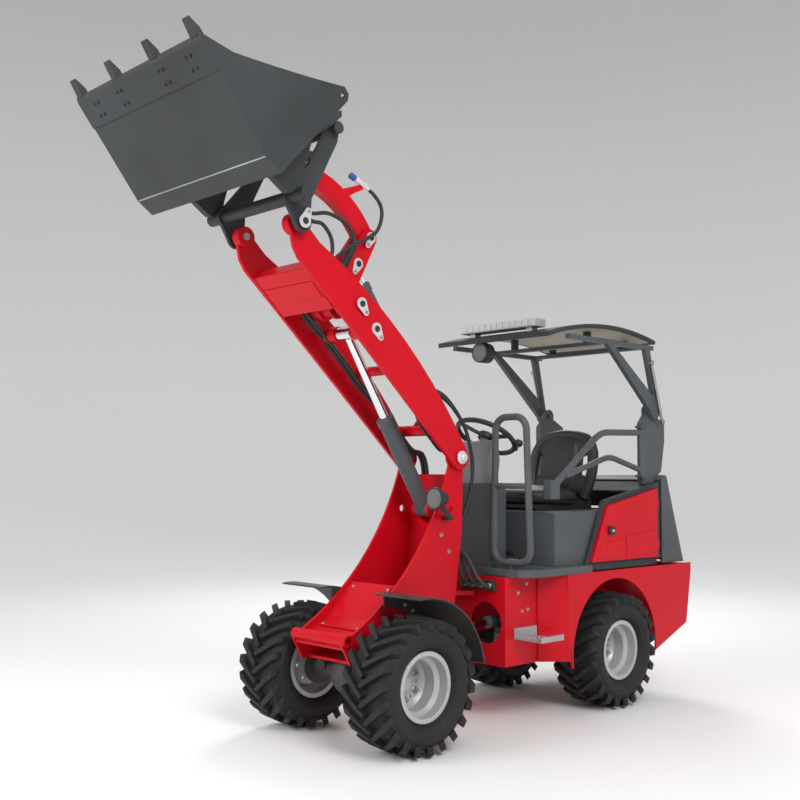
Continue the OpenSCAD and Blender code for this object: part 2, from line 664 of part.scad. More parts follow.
module front_frame() color(RED) placed() difference() {
    union() {
        both() upright(tower_in, tower_out) tower_outline();
        // sloping cover between the plates
        upright(-tower_in - 1, tower_in + 1) polygon([[front_x + 235, 500], [front_x + 20, 600], [front_x - 140, 770], [front_x - 150, 756],
            [front_x + 5, 590], [front_x + 230, 486]]);
        // lashing tube across the nose
        bar(nose_at, nose_bore + 10, -tower_out - 12, tower_out + 12);
        // back wall of the tower
        upright(-tower_in - 1, tower_in + 1) polygon([[pivot_x + 118, 690], [O[0] - 26, O[1] - 390], [O[0] - 30, O[1] - 90],
            [O[0] - 44, O[1] - 90], [O[0] - 41, O[1] - 390], [pivot_x + 106, 690]]);
        // lower cross wall and saddle
        translate([pivot_x + 116, -tower_in - 1, tower_low + 40]) cube([14, 2 * tower_in + 2, 260]);
        translate([front_x - 100, -tower_in - 1, tower_low]) cube([240, 2 * tower_in + 2, 14]);
        // knuckles of the articulation
        for (z = [knuckle_low, knuckle_high]) translate([0, 0, z]) linear_extrude(knuckle_t) {
            translate([pivot_x, 0]) circle(70);
            polygon([[pivot_x, -70], [pivot_x + 120, -tower_in], [pivot_x + 120, tower_in], [pivot_x, 70]]);
        }
        // lugs of the lift cylinder
        both() upright(lug_y - lug_t, lug_y) { translate(lift_base) circle(42); polygon([lift_base + [0, 42], lift_base + [0, -42],
            [O[0] - 40, lift_base[1] - 90], [O[0] - 40, lift_base[1] + 60]]); }
        // bosses of the boom's pivot
        both() bar(O, 52, tower_in - 20, tower_out + 4);
        // bracket of the steering cylinder
        for (z = [steer_z - 60, steer_z + 40]) translate([0, 0, z]) linear_extrude(20) {
            translate(steer_eye) circle(36);
            polygon([[pivot_x + 118, tower_in], [pivot_x + 220, tower_in], [pivot_x + 220, tower_out], steer_eye + [0, 36], steer_eye + [0, -36]]);
        }
    }
    translate([front_x, 0, axle_z]) sphere(r = diff_r + side_gap);
    translate([pivot_x, 0, knuckle_low - 1]) cylinder(r = pivot_pin_r + run_gap, h = 400);
    bar(nose_at, nose_bore, -400, 400);
    bar(O, pin_r + 6 + seat_gap, -400, 400);
    bar(lift_base, pin_r + run_gap, -200, 200);
}

module front_fenders() color(BLACK) placed() both() {
    intersection() {
        upright(tower_out + 10, tower_out + 10 + fender_w) difference() {
            translate([front_x, axle_z + 15]) circle(fender_r + 8, $fn = 96);
            translate([front_x, axle_z + 15]) circle(fender_r, $fn = 96);
        }
        upright(0, 700) polygon([[front_x, axle_z], [front_x + 70, axle_z + 600], [front_x - 700, axle_z + 600], [front_x - 700, axle_z + 70],
            [front_x - 300, axle_z + 70]]);
    }
    // flange against the tower's plate
    upright(tower_out + seat_gap, tower_out + 11) intersection() {
        difference() {
            translate([front_x, axle_z + 15]) circle(fender_r + 8, $fn = 96);
            translate([front_x, axle_z + 15]) circle(fender_r - 60, $fn = 96);
        }
        polygon([[front_x, axle_z], [front_x - 30, axle_z + 600], [front_x - 500, axle_z + 500], [front_x - 300, axle_z + 150]]);
    }
}

lamp_at = O + [165, -215];
lamp_y = 284;
lamp_r = 46;
lamp_foot = O + [100, -320];

module headlamp() color(BLACK) placed() {
    translate([lamp_at[0] + 20, lamp_y, lamp_at[1]]) rotate([0, 90, 0]) {
        cylinder(r1 = lamp_r - 16, r2 = lamp_r, h = 40);
        translate([0, 0, 39]) cylinder(r = lamp_r, h = 19);
    }
    // arm that passes below the lowered boom
    bar(lamp_foot, 14, tower_out + seat_gap, lamp_y - 34);
    upright(lamp_y - 44, lamp_y - 34) polygon([lamp_foot + [-14, 0], lamp_foot + [14, -14], lamp_at + [30, -24], lamp_at + [30, 10]]);
    translate([lamp_at[0], lamp_y - 40, lamp_at[1] - 20]) cube([28, 46, 28]);
}

// The boom, drawn along its own length
module on_boom_axes() translate([O[0], 0, O[1]]) rotate([0, -boom_rise, 0]) children();

boom_in = boom_out - boom_t;
neck_s = boom_len - 150;
box_s = boom_len - 440;
box_len = 250;
tilt_tube_h = 62;

module boom() color(RED) placed() difference() {
    union() {
        on_boom_axes() {
            both() upright(boom_in, boom_out) {
                circle(64);
                polygon(concat(arc([0, 64], [0.5 * boom_len, 140], [neck_s, 48]), [[boom_len, 46], [boom_len, -46], [boom_len - 70, -92]],
                    arc([boom_len - 130, -106], [0.5 * boom_len, -84], [0, -64])));
                translate([boom_len, 0]) circle(48);
            }
            // cross box and cross tube between the plates
            difference() {
                translate([box_s, -boom_in - 1, -98]) cube([box_len, 2 * boom_in + 2, 70]);
                translate([box_s + 10, -boom_in - 2, -88]) cube([box_len - 20, 2 * boom_in + 4, 50]);
            }
            bar([0.38 * boom_len, 60], 26, -boom_in - 1, boom_in + 1);
            // cross tube with the lugs of the tilt cylinder
            bar([tilt_s, tilt_tube_h], 30, -boom_in - 1, boom_in + 1);
            both() upright(lug_y - lug_t, lug_y) {
                translate([tilt_s, tilt_h]) circle(36);
                translate([tilt_s - 30, tilt_tube_h]) square([60, tilt_h - tilt_tube_h]);
            }
            // cheeks of the lift rod's pin
            both() bar([lift_s, lift_h], 40, 60, boom_in + 1);
            both() bar([crank_s, crank_h], 40, 72, boom_in + 1);
        }
        both() bar(T, 50, boom_in - 30, boom_out);
    }
    bar(O, pin_r + 6 + run_gap, -400, 400);
    bar(crank_pin_at, pin_r + run_gap, -400, 400);
    bar(tilt_base, pin_r + run_gap, -200, 200);
    bar(T, pin_r + run_gap, -400, 400);
}

module boom_pin() color(STEEL) placed() {
    both() bar(O, pin_r + 6, tower_in - 20, boom_out + 8);
}

// Cylinders: a barrel with a pin at its base, and a rod with an eye
module barrel(a, b, length, r, rod_r, eye_w) {
    d = along(b - a);
    difference() {
        union() {
            bar([a[0], a[2]], r - 4, -eye_w, eye_w);
            strut(a, a + length * d, r);
            strut(a + (length - 40) * d, a + length * d, r + 5);
        }
        strut(a + 80 * d, a + (length + 1) * d, rod_r + run_gap);
    }
}

module rod(a, b, inside, rod_r, eye_r, eye_w) {
    d = along(b - a);
    strut(a + inside * d, b, rod_r);
    bar([b[0], b[2]], eye_r, -eye_w, eye_w);
}

function flat(p) = [p[0], 0, p[1]];
lug_gap = lug_y - lug_t - side_gap / 2;

module lift_barrel() color(GREY) placed() {
    barrel(flat(lift_base), flat(lift_pin_at), 575, lift_r, 24, lug_gap);
    bar(lift_base, pin_r, -lug_y - 8, lug_y + 8);
}
module lift_rod() color(CHROME) placed() rod(flat(lift_base), flat(lift_pin_at), 440, 24, 36, 50);
// Room along the boom that the tilt barrel leaves to the crank and to the rod's stroke
tilt_room = 713;

module tilt_barrel() color(GREY) placed() {
    barrel(flat(tilt_base), flat(tilt_pin_at), boom_len - tilt_room, tilt_r, 20, lug_gap);
    bar(tilt_base, pin_r, -lug_y - 8, lug_y + 8);
}
module tilt_rod() color(CHROME) placed() rod(flat(tilt_base), flat(tilt_pin_at), 300, 20, 32, crank_in - side_gap);

crank_in = 36;
crank_t = 18;

module crank_pin() color(STEEL) placed() bar(crank_pin_at, pin_r, -boom_out - 10, boom_out + 10);

module crank() color(RED) placed() difference() {
    union() {
        both() upright(crank_in, crank_in + crank_t) {
            translate(crank_pin_at) circle(56);
            translate(link_pin_at) circle(48);
            translate(crank_pin_at) rotate(crank_lean) polygon([[0, -56], [crank_len * crank_eye, -72], [crank_len, -48], [crank_len, 48],
                [crank_len * crank_eye, 52], [0, 56]]);
        }
        bar(crank_pin_at, 40, -crank_in - crank_t, crank_in + crank_t);
    }
    bar(crank_pin_at, pin_r + run_gap, -400, 400);
    bar(link_pin_at, pin_r + run_gap, -400, 400);
}

module link_pin() color(STEEL) placed() bar(link_pin_at, pin_r, -crank_in - crank_t - 8, crank_in + crank_t + 8);

link_half = crank_in - side_gap;
link_w = 104;
link_bulge = 75;

module link() color(RED) placed() difference() {
    chord = hitch_link_at - link_pin_at;
    n = along([-chord[1], chord[0]]);
    r = (chord * chord) / (8 * link_bulge) + link_bulge / 2;
    c = link_pin_at + chord / 2 + n * (link_bulge - r);
    from = link_pin_at - c;
    to = hitch_link_at - c;
    middle = n * r;
    grow = 1 + link_w / 2 / r;
    shrink = 1 - link_w / 2 / r;
    upright(-link_half, link_half) {
        polygon(concat(arc(c + from * grow, c + middle * grow, c + to * grow), arc(c + to * shrink, c + middle * shrink, c + from * shrink)));
        translate(link_pin_at) circle(link_w / 2 + 4);
        translate(hitch_link_at) circle(link_w / 2 + 4);
    }
    bar(link_pin_at, pin_r + run_gap, -200, 200);
    bar(hitch_link_at, pin_r + 20, -200, 200);
}

// The hitch and the bucket, drawn level with the boom's tip pin at the origin
module on_bucket_axes() translate([T[0], 0, T[1]]) rotate([0, -bucket_roll, 0]) children();

cheek_t = 18;
cheek_in = hitch_out - cheek_t;
back_lean = atan2(crown[0] - heel[0], crown[1] - heel[1]);
function on_back(z, off) = [heel[0] + (z - heel[1]) * tan(back_lean) - off, z];

module tip_pins() color(STEEL) placed() both() bar(T, pin_r, boom_in - 34, hitch_out + 12);

module quick_hitch() color(GREY) placed() difference() {
    on_bucket_axes() {
        both() {
            upright(cheek_in, hitch_out) {
                circle(50);
                translate(hitch_tube) circle(48);
                polygon([[-46, 16], [20, -46], hitch_tube + [10, -48], hitch_tube + [46, 20], [200, 190], [300, 420], [262, 486],
                         [205, 420], [150, 300], [60, 110]]);
            }
            // inner lugs of the tilt link
            upright(link_half + side_gap, link_half + side_gap + 16) {
                translate(hitch_link) circle(44);
                polygon([hitch_link + [-40, -20], hitch_link + [0, -44], [232, 210], [290, 400], [262, 452], hitch_link + [0, 44]]);
            }
        }
        bar(hitch_tube, hitch_tube_r, -hitch_out - 110, hitch_out + 110);
        bar([268, 440], 30, -hitch_out - 40, hitch_out + 40);
        both() bar([226, 240], 22, link_half + side_gap + 2, hitch_out - 4);
    }
    bar(T, pin_r + run_gap, -400, 400);
}

edge_w = 150;
edge_t = 16;

module bucket_side() polygon(concat([heel + [0, 30], heel + [95, 0], lip, lip + [0, 12]],
    arc(lip + [-120, 110], heel + [339, 343], crown + [58, 2], 6), [crown + [20, 4], crown + [-2, -20]]));

// The lifting eye in each side
eye_at = crown + [27, -32];
eye_r = 14;

module bucket() color(GREY) placed() on_bucket_axes() {
    half = bucket_w / 2;
    // sides, each with an eye for a lifting hook
    both() upright(half - bucket_t, half) difference() {
        bucket_side();
        translate(eye_at) circle(eye_r);
    }
    // rolled sheet of floor and back
    upright(-half, half) polygon([lip, heel + [95, 0], heel + [0, 30], crown + [-2, -20], crown + [20, 4], crown + [22, -4],
        crown + [-2 + bucket_t, -24], heel + [bucket_t + 4, 38], heel + [99, bucket_t], lip + [0, bucket_t]]);
    // cutting edge under the lip
    upright(-half, half) polygon([lip + [10, bucket_t], lip + [10, 4], lip + [-10, -edge_t + bucket_t], lip + [-edge_w, -edge_t + bucket_t], lip + [-edge_w, bucket_t]]);
    for (i = [0 : teeth - 1]) {
        y = -half + 45 + i * (bucket_w - 90) / (teeth - 1);
        upright(y - 22, y + 22) polygon([lip + [-70, bucket_t], lip + [-60, bucket_t + 24], lip + [30, bucket_t + 22], tooth_tip + [0, 8], tooth_tip,
            lip + [6, -6], lip + [-10, bucket_t - 2]]);
    }
    // brackets on the back that the hitch holds
    for (y = [-hitch_out - 60, hitch_out + 20]) upright(y, y + 40) polygon([on_back(heel[1] + 120, -4), on_back(hitch_tube[1] - 60, 150), hitch_tube + [hitch_tube_r + seat_gap, -40],
        hitch_tube + [hitch_tube_r + seat_gap, 30], hitch_tube + [60, 60], on_back(240, 60), [300, 400], [306, 470], [330, 486], on_back(crown[1] - 60, -4)]);
}

// Wheels

bead_r = rim_d / 2 - 16;

module rim() {
    half = rim_w / 2;
    well_r = bead_r - 24;
    sheet = rim_t / 2;
    rotate([90, 0, 0]) {
        rotate_extrude($fn = 96) polygon([[rim_d / 2, half], [rim_d / 2, half - rim_t], [bead_r, half - rim_t - 2], [bead_r, half - 52],
            [well_r, half - 66], [well_r, -half + 66], [bead_r, -half + 52], [bead_r, -half + rim_t + 2], [rim_d / 2, -half + rim_t],
            [rim_d / 2, -half], [bead_r - rim_t, -half], [bead_r - rim_t, -half + 52], [well_r - rim_t, -half + 66],
            [well_r - rim_t, half - 66], [bead_r - rim_t, half - 52], [bead_r - rim_t, half]]);
        // dished disc with its hub, which runs on the stub shaft
        difference() {
            rotate_extrude($fn = 96) polygon([[well_r - sheet, -16], [well_r - sheet, -32], [104, -54], [58, -54], [56, -half + 4],
                [stub_r + run_gap, -half + 4], [stub_r + run_gap, -24], [50, -24], [52, -40], [104, -40]]);
            // holes of the wheel's disc
            for (i = [0 : 5]) rotate([0, 0, i * 60]) translate([80, 0, -70]) cylinder(r = 9, h = 40);
        }
    }
}

// The carcass's half outline from its bead to its crown, as [radius, offset from the middle plane]
tyre_half = tyre_w / 2;
crown_r = tyre_d / 2 - lug_h;
wall_line = concat([[bead_r + seat_gap, rim_w / 2 - rim_t - 3]],
    arc([bead_r + 24, rim_w / 2 - rim_t - 1], [bead_r + 84, tyre_half - 2], [crown_r - 22, tyre_half - 20], 4),
    [[crown_r - 4, tyre_half - 50]]);
air_line = [[bead_r - 1, rim_w / 2 - rim_t - 24], [bead_r + 84, tyre_half - tyre_wall - 4], [crown_r - 24, tyre_half - 50]];
function flip(points) = [for (i = [len(points) - 1 : -1 : 0]) [points[i][0], -points[i][1]]];

// The middle line of a lug from the crown to the shoulder, as [offset, distance round the tyre]
lug_line = [[-6, -62], [tyre_half - 2, 48]];
function beside(p, q, w) = let (d = q - p) [-d[1], d[0]] / norm(d) * w / 2;
lug_root = beside(lug_line[0], lug_line[1], lug_w - 4);
lug_end = beside(lug_line[0], lug_line[1], lug_w + 8);
lug_outline = [lug_line[0] + lug_root, lug_line[0] - lug_root, lug_line[1] - lug_end, lug_line[1] + lug_end];

// The ring that the lugs are cut from
module lug_ring() rotate_extrude($fn = 96) polygon(concat([[crown_r - 26, -tyre_half + 24], [crown_r - 30, -tyre_half + 6],
    [crown_r - 4, -tyre_half + 1]], arc([tyre_d / 2 - 12, -tyre_half + 12], [tyre_d / 2, 0], [tyre_d / 2 - 12, tyre_half - 12], 2),
    [[crown_r - 4, tyre_half - 1], [crown_r - 30, tyre_half - 6], [crown_r - 26, tyre_half - 24], [crown_r - 12, 0]]));

// A tyre; lug_turn is 1 or -1, so that all the machine's lugs point the same way
module tyre(lug_turn) rotate([90, 0, 0]) {
    rotate_extrude($fn = 96) difference() {
        polygon(concat(wall_line, flip(wall_line)));
        polygon(concat(air_line, flip(air_line)));
    }
    intersection() {
        lug_ring();
        for (side = [0, 1]) mirror([0, 0, side]) for (i = [0 : lugs - 1]) rotate([0, 0, (i + side / 2) * 360 / lugs])
            translate([crown_r - 60, 0, 0]) rotate([90, 0, 90]) linear_extrude(100)
                polygon([for (p = lug_outline) [lug_turn * p[1], p[0]]]);
    }
}

// A wheel's place: front or rear, left or right, its outer face turned outwards
module wheel_place(x, side) placed() translate([x, side * track / 2, axle_z]) rotate([0, 0, side > 0 ? 180 : 0]) children();

module rim_front_left() color(SILVER) wheel_place(front_x, 1) rim();
module rim_front_right() color(SILVER) wheel_place(front_x, -1) rim();
module rim_rear_left() color(SILVER) wheel_place(rear_x, 1) rim();
module rim_rear_right() color(SILVER) wheel_place(rear_x, -1) rim();
module tyre_front_left() color(BLACK) wheel_place(front_x, 1) tyre(-1);
module tyre_front_right() color(BLACK) wheel_place(front_x, -1) tyre(1);
module tyre_rear_left() color(BLACK) wheel_place(rear_x, 1) tyre(-1);
module tyre_rear_right() color(BLACK) wheel_place(rear_x, -1) tyre(1);

rear_frame();
rear_fenders();
counterweight();
pivot_pins();
rear_axle();
engine();
platform();
cowl();
dashboard();
steering_wheel();
handrail();
seat_box();
seat();
joystick_console();
engine_bay();
side_cover_left();
side_cover_right();
rear_hood();
rops_posts();
canopy_frame();
roof();
light_bar();
roof_lamp();
canopy_stays();
gate();
step();
coupler_block();
steer_barrel();
steer_rod();
front_frame();
front_axle();
front_fenders();
headlamp();
boom();
boom_pin();
lift_barrel();
lift_rod();
tilt_barrel();
tilt_rod();
crank_pin();
crank();
link_pin();
link();
tip_pins();
quick_hitch();
bucket();
rim_front_left();
rim_front_right();
rim_rear_left();
rim_rear_right();
tyre_front_left();
tyre_front_right();
tyre_rear_left();
tyre_rear_right();
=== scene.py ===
from itertools import product
from math import atan2, cos, hypot, pi, radians, sin

import bmesh
import bpy
from mathutils import Matrix, Vector


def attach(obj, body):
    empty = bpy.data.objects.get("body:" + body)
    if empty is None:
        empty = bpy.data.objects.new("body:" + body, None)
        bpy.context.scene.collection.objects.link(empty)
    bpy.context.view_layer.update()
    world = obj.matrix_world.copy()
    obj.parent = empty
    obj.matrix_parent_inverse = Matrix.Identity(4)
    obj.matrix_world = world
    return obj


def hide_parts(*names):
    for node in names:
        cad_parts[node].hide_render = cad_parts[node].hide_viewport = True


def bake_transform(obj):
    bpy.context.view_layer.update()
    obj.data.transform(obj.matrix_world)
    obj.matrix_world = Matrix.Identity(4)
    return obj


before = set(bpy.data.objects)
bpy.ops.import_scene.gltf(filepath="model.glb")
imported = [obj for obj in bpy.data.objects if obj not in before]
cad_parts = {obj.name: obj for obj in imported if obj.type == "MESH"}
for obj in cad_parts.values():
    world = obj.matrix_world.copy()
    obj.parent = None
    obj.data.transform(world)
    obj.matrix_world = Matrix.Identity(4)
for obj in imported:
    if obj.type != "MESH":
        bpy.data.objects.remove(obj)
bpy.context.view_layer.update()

scene = bpy.context.scene
scene.view_settings.view_transform = "Standard"
yaw, pitch, roll = -2.337, 0.0697, 0.0034
ahead = Vector((cos(yaw) * cos(pitch), sin(yaw) * cos(pitch), sin(pitch)))
right = ahead.cross(Vector((0, 0, 1))).normalized()
above = right.cross(ahead)
right, above = (cos(roll) * right + sin(roll) * above,
                cos(roll) * above - sin(roll) * right)
stand = Matrix((right, above, -ahead)).transposed().to_4x4()
stand.translation = (4.177, 4.129, 1.339)
camera = bpy.data.objects.new("camera", bpy.data.cameras.new("camera"))
camera.data.sensor_width = 36
camera.data.lens = 47.89
camera.data.clip_end = 200
camera.matrix_world = stand
scene.collection.objects.link(camera)
scene.camera = camera


def wire(tree, *pairs):
    for source, target in pairs:
        tree.links.new(source, target)


def add(tree, kind, **values):
    node = tree.nodes.new("ShaderNode" + kind)
    for key, value in values.items():
        if key.startswith("i_"):
            node.inputs[key[2:].replace("_", " ")].default_value = value
        else:
            setattr(node, key, value)
    return node


def ramp(tree, fac, stops):
    node = tree.nodes.new("ShaderNodeValToRGB")
    while len(node.color_ramp.elements) < len(stops):
        node.color_ramp.elements.new(0.5)
    for element, (place, tone) in zip(node.color_ramp.elements, stops):
        element.position = place
        element.color = (tone, tone, tone, 1)
    tree.links.new(fac, node.inputs["Fac"])
    return node.outputs["Color"]


def new_material(name, rough, metallic=0.0, **sockets):
    mat = bpy.data.materials.new(name)
    mat.use_nodes = True
    bsdf = mat.node_tree.nodes["Principled BSDF"]
    bsdf.inputs["Roughness"].default_value = rough
    bsdf.inputs["Metallic"].default_value = metallic
    for key, value in sockets.items():
        bsdf.inputs[key.replace("_", " ")].default_value = value
    return mat, mat.node_tree, bsdf


world = bpy.data.worlds.new("sweep")
scene.world = world
world.use_nodes = True
sky = world.node_tree
sky.nodes.clear()
way = add(sky, "TexCoord")
height = add(sky, "SeparateXYZ")
path = add(sky, "LightPath")
seen = add(sky, "Background", i_Strength=1.0)
lit = add(sky, "Background", i_Strength=0.62)
either = add(sky, "MixShader")
out = add(sky, "OutputWorld")
seen_tones = [(0.0, 0.80), (0.10, 0.70), (0.42, 0.44), (1.0, 0.36)]
lit_tones = [(0.0, 0.50), (0.25, 0.78), (1.0, 1.0)]
wire(sky,
     (way.outputs["Generated"], height.inputs[0]),
     (ramp(sky, height.outputs["Z"], seen_tones), seen.inputs["Color"]),
     (ramp(sky, height.outputs["Z"], lit_tones), lit.inputs["Color"]),
     (path.outputs["Is Camera Ray"], either.inputs["Fac"]),
     (lit.outputs[0], either.inputs[1]),
     (seen.outputs[0], either.inputs[2]),
     (either.outputs[0], out.inputs["Surface"]))

FLAT, BEND, TALL, TURNS = 8.0, 7.0, 12.0, 96
outline = [(FLAT / 2, 0.0), (FLAT, 0.0)]
outline += [(FLAT + BEND * sin(radians(a)), BEND - BEND * cos(radians(a)))
            for a in range(5, 95, 5)]
outline.append((FLAT + BEND, TALL))
rays = [(cos(2 * pi * k / TURNS), sin(2 * pi * k / TURNS)) for k in range(TURNS)]
floor_faces = [tuple(range(TURNS))]
for j in range(len(outline) - 1):
    for k in range(TURNS):
        a, b = j * TURNS + k, j * TURNS + (k + 1) % TURNS
        floor_faces.append((a, a + TURNS, b + TURNS, b))
floor_mesh = bpy.data.meshes.new("floor")
floor_mesh.from_pydata([(r * c, r * s, z) for r, z in outline for c, s in rays], [], floor_faces)
for face in floor_mesh.polygons:
    face.use_smooth = True
floor = bpy.data.objects.new("floor", floor_mesh)
scene.collection.objects.link(floor)
pale, tree, bsdf = new_material("pale_floor", 0.9)
spot = add(tree, "TexCoord")
height = add(tree, "SeparateXYZ")
share = add(tree, "MapRange", i_From_Max=10.0)
# Painted shade: the floor's colour darkens with height, from 0.92 on the floor to 0.68 at 10 m up the
# wall, in place of light falling off up the sweep.
painted_shade_tones = [(0.0, 0.92), (0.27, 0.90), (1.0, 0.68)]
wire(tree,
     (spot.outputs["Object"], height.inputs[0]),
     (height.outputs["Z"], share.inputs["Value"]),
     (ramp(tree, share.outputs[0], painted_shade_tones), bsdf.inputs["Base Color"]))
floor_mesh.materials.append(pale)


def soft_lamp(name, place, target, size, power):
    light = bpy.data.lights.new(name, "AREA")
    light.shape = "DISK"
    light.size = size
    light.energy = power
    obj = bpy.data.objects.new(name, light)
    obj.location = place
    aim = Vector(target) - Vector(place)
    obj.rotation_euler = aim.to_track_quat("-Z", "Y").to_euler()
    scene.collection.objects.link(obj)


soft_lamp("key", (2.5, 6.5, 6.0), (0, 0, 1.0), 4.0, 370)
soft_lamp("front", (7.0, -1.5, 4.0), (0.3, 0, 1.2), 4.0, 240)
soft_lamp("back", (-5.0, -4.0, 5.5), (0, 0, 1.2), 3.0, 210)

# Rear frame, fenders, counterweight and side covers: welded steel sheet and plate in gloss red.
# The coat is sprayed, so it has a fine peel, thins on edges and takes dust low down.
# Places are written from the middle of the wheelbase, and at() moves them into the shared frame.
SHIFT = -0.27465


def at(x, y, z):
    return Vector((x + SHIFT, y, z))


def group(name, inputs, outputs):
    tree = bpy.data.node_groups.new(name, "ShaderNodeTree")
    for side, sockets in (("INPUT", inputs), ("OUTPUT", outputs)):
        for socket, kind, value in sockets:
            made = tree.interface.new_socket(socket, in_out=side, socket_type="NodeSocket" + kind)
            if value is not None:
                made.default_value = value
    return tree, tree.nodes.new("NodeGroupInput"), tree.nodes.new("NodeGroupOutput")


# edge wear: a rounded normal, and a broken mask along edges
edge_tree, inlet, outlet = group(
    "edge_wear",
    [("Width", "Float", 0.004), ("Break", "Float", 30.0)],
    [("Mask", "Float", None), ("Normal", "Vector", None)])
round_off = add(edge_tree, "Bevel", samples=4)
flat = add(edge_tree, "NewGeometry")
dot = add(edge_tree, "VectorMath", operation="DOT_PRODUCT")
chip = add(edge_tree, "TexNoise", i_Detail=6.0, i_Roughness=0.7)
spot = add(edge_tree, "TexCoord")
bent = add(edge_tree, "MapRange", i_From_Min=0.985, i_From_Max=0.80)
torn = add(edge_tree, "MapRange", i_From_Min=0.52, i_From_Max=0.66)
mask = add(edge_tree, "Math", operation="MULTIPLY")
wire(edge_tree,
     (inlet.outputs["Width"], round_off.inputs["Radius"]),
     (round_off.outputs[0], dot.inputs[0]),
     (flat.outputs["Normal"], dot.inputs[1]),
     (dot.outputs["Value"], bent.inputs["Value"]),
     (spot.outputs["Object"], chip.inputs["Vector"]),
     (inlet.outputs["Break"], chip.inputs["Scale"]),
     (chip.outputs["Fac"], torn.inputs["Value"]),
     (bent.outputs[0], mask.inputs[0]),
     (torn.outputs[0], mask.inputs[1]),
     (mask.outputs[0], outlet.inputs["Mask"]),
     (round_off.outputs[0], outlet.inputs["Normal"]))

# dust: more low down and on faces that look up
dust_tree, inlet, outlet = group(
    "dust",
    [("Colour", "Color", (0.5, 0.5, 0.5, 1)), ("Dust Colour", "Color", (0.30, 0.26, 0.22, 1)),
     ("Amount", "Float", 0.2)],
    [("Colour", "Color", None), ("Mask", "Float", None)])
spot = add(dust_tree, "TexCoord")
height = add(dust_tree, "SeparateXYZ")
lie = add(dust_tree, "NewGeometry")
facing = add(dust_tree, "SeparateXYZ")
cloud = add(dust_tree, "TexNoise", i_Scale=5.0, i_Detail=8.0, i_Roughness=0.65)
low = add(dust_tree, "MapRange", i_From_Min=1.1, i_From_Max=0.1)
top = add(dust_tree, "MapRange", i_From_Min=0.2, i_From_Max=1.0, i_To_Max=0.6)
both = add(dust_tree, "Math", operation="ADD")
patch = add(dust_tree, "Math", operation="MULTIPLY")
much = add(dust_tree, "Math", operation="MULTIPLY", use_clamp=True)
coat = add(dust_tree, "MixRGB")
wire(dust_tree,
     (spot.outputs["Object"], height.inputs[0]),
     (lie.outputs["Normal"], facing.inputs[0]),
     (spot.outputs["Object"], cloud.inputs["Vector"]),
     (height.outputs["Z"], low.inputs["Value"]),
     (facing.outputs["Z"], top.inputs["Value"]),
     (low.outputs[0], both.inputs[0]),
     (top.outputs[0], both.inputs[1]),
     (both.outputs[0], patch.inputs[0]),
     (cloud.outputs["Fac"], patch.inputs[1]),
     (patch.outputs[0], much.inputs[0]),
     (inlet.outputs["Amount"], much.inputs[1]),
     (much.outputs[0], coat.inputs["Fac"]),
     (inlet.outputs["Colour"], coat.inputs[1]),
     (inlet.outputs["Dust Colour"], coat.inputs[2]),
     (coat.outputs[0], outlet.inputs["Colour"]),
     (much.outputs[0], outlet.inputs["Mask"]))

# peel: the fine waves of a sprayed coat, and a slow shift of its tone
peel_tree, inlet, outlet = group(
    "peel",
    [("Colour", "Color", (0.5, 0.5, 0.5, 1)), ("Shift", "Float", 0.06), ("Scale", "Float", 260.0)],
    [("Colour", "Color", None), ("Height", "Float", None)])
spot = add(peel_tree, "TexCoord")
fine = add(peel_tree, "TexNoise", i_Detail=3.0)
slow = add(peel_tree, "TexNoise", i_Scale=3.0, i_Detail=5.0)
tone = add(peel_tree, "MapRange", i_From_Min=0.3, i_From_Max=0.7, i_To_Min=-1.0, i_To_Max=1.0)
sway = add(peel_tree, "Math", operation="MULTIPLY_ADD")
sway.inputs[2].default_value = 1.0
tint = add(peel_tree, "HueSaturation")
wire(peel_tree,
     (spot.outputs["Object"], fine.inputs["Vector"]),
     (inlet.outputs["Scale"], fine.inputs["Scale"]),
     (spot.outputs["Object"], slow.inputs["Vector"]),
     (slow.outputs["Fac"], tone.inputs["Value"]),
     (tone.outputs[0], sway.inputs[0]),
     (inlet.outputs["Shift"], sway.inputs[1]),
     (sway.outputs[0], tint.inputs["Value"]),
     (inlet.outputs["Colour"], tint.inputs["Color"]),
     (tint.outputs[0], outlet.inputs["Colour"]),
     (fine.outputs["Fac"], outlet.inputs["Height"]))


def placed_group(tree, source, **values):
    node = tree.nodes.new("ShaderNodeGroup")
    node.node_tree = source
    for key, value in values.items():
        node.inputs[key].default_value = value
    return node


def sprayed(name, colour, rough, bare, dust=0.25, peel=260.0, bump=0.03, wear=0.004, shift=0.06,
            metallic=0.0, **sockets):
    mat, tree, bsdf = new_material(name, rough, metallic, **sockets)
    skin = placed_group(tree, peel_tree, Colour=(*colour, 1), Shift=shift, Scale=peel)
    edge = placed_group(tree, edge_tree, Width=wear)
    dirt = placed_group(tree, dust_tree, Amount=dust)
    chips = add(tree, "MixRGB")
    chips.inputs[2].default_value = (*bare, 1)
    relief = add(tree, "Bump", i_Strength=bump, i_Distance=0.002)
    dull = add(tree, "MapRange", i_To_Min=rough, i_To_Max=min(0.95, rough + 0.5))
    wire(tree,
         (skin.outputs["Colour"], chips.inputs[1]),
         (edge.outputs["Mask"], chips.inputs["Fac"]),
         (chips.outputs[0], dirt.inputs["Colour"]),
         (dirt.outputs["Colour"], bsdf.inputs["Base Color"]),
         (dirt.outputs["Mask"], dull.inputs["Value"]),
         (dull.outputs[0], bsdf.inputs["Roughness"]),
         (skin.outputs["Height"], relief.inputs["Height"]),
         (edge.outputs["Normal"], relief.inputs["Normal"]),
         (relief.outputs[0], bsdf.inputs["Normal"]))
    return mat


def dress(material, *nodes):
    for name in nodes:
        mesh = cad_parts[name].data
        mesh.materials.clear()
        mesh.materials.append(material)


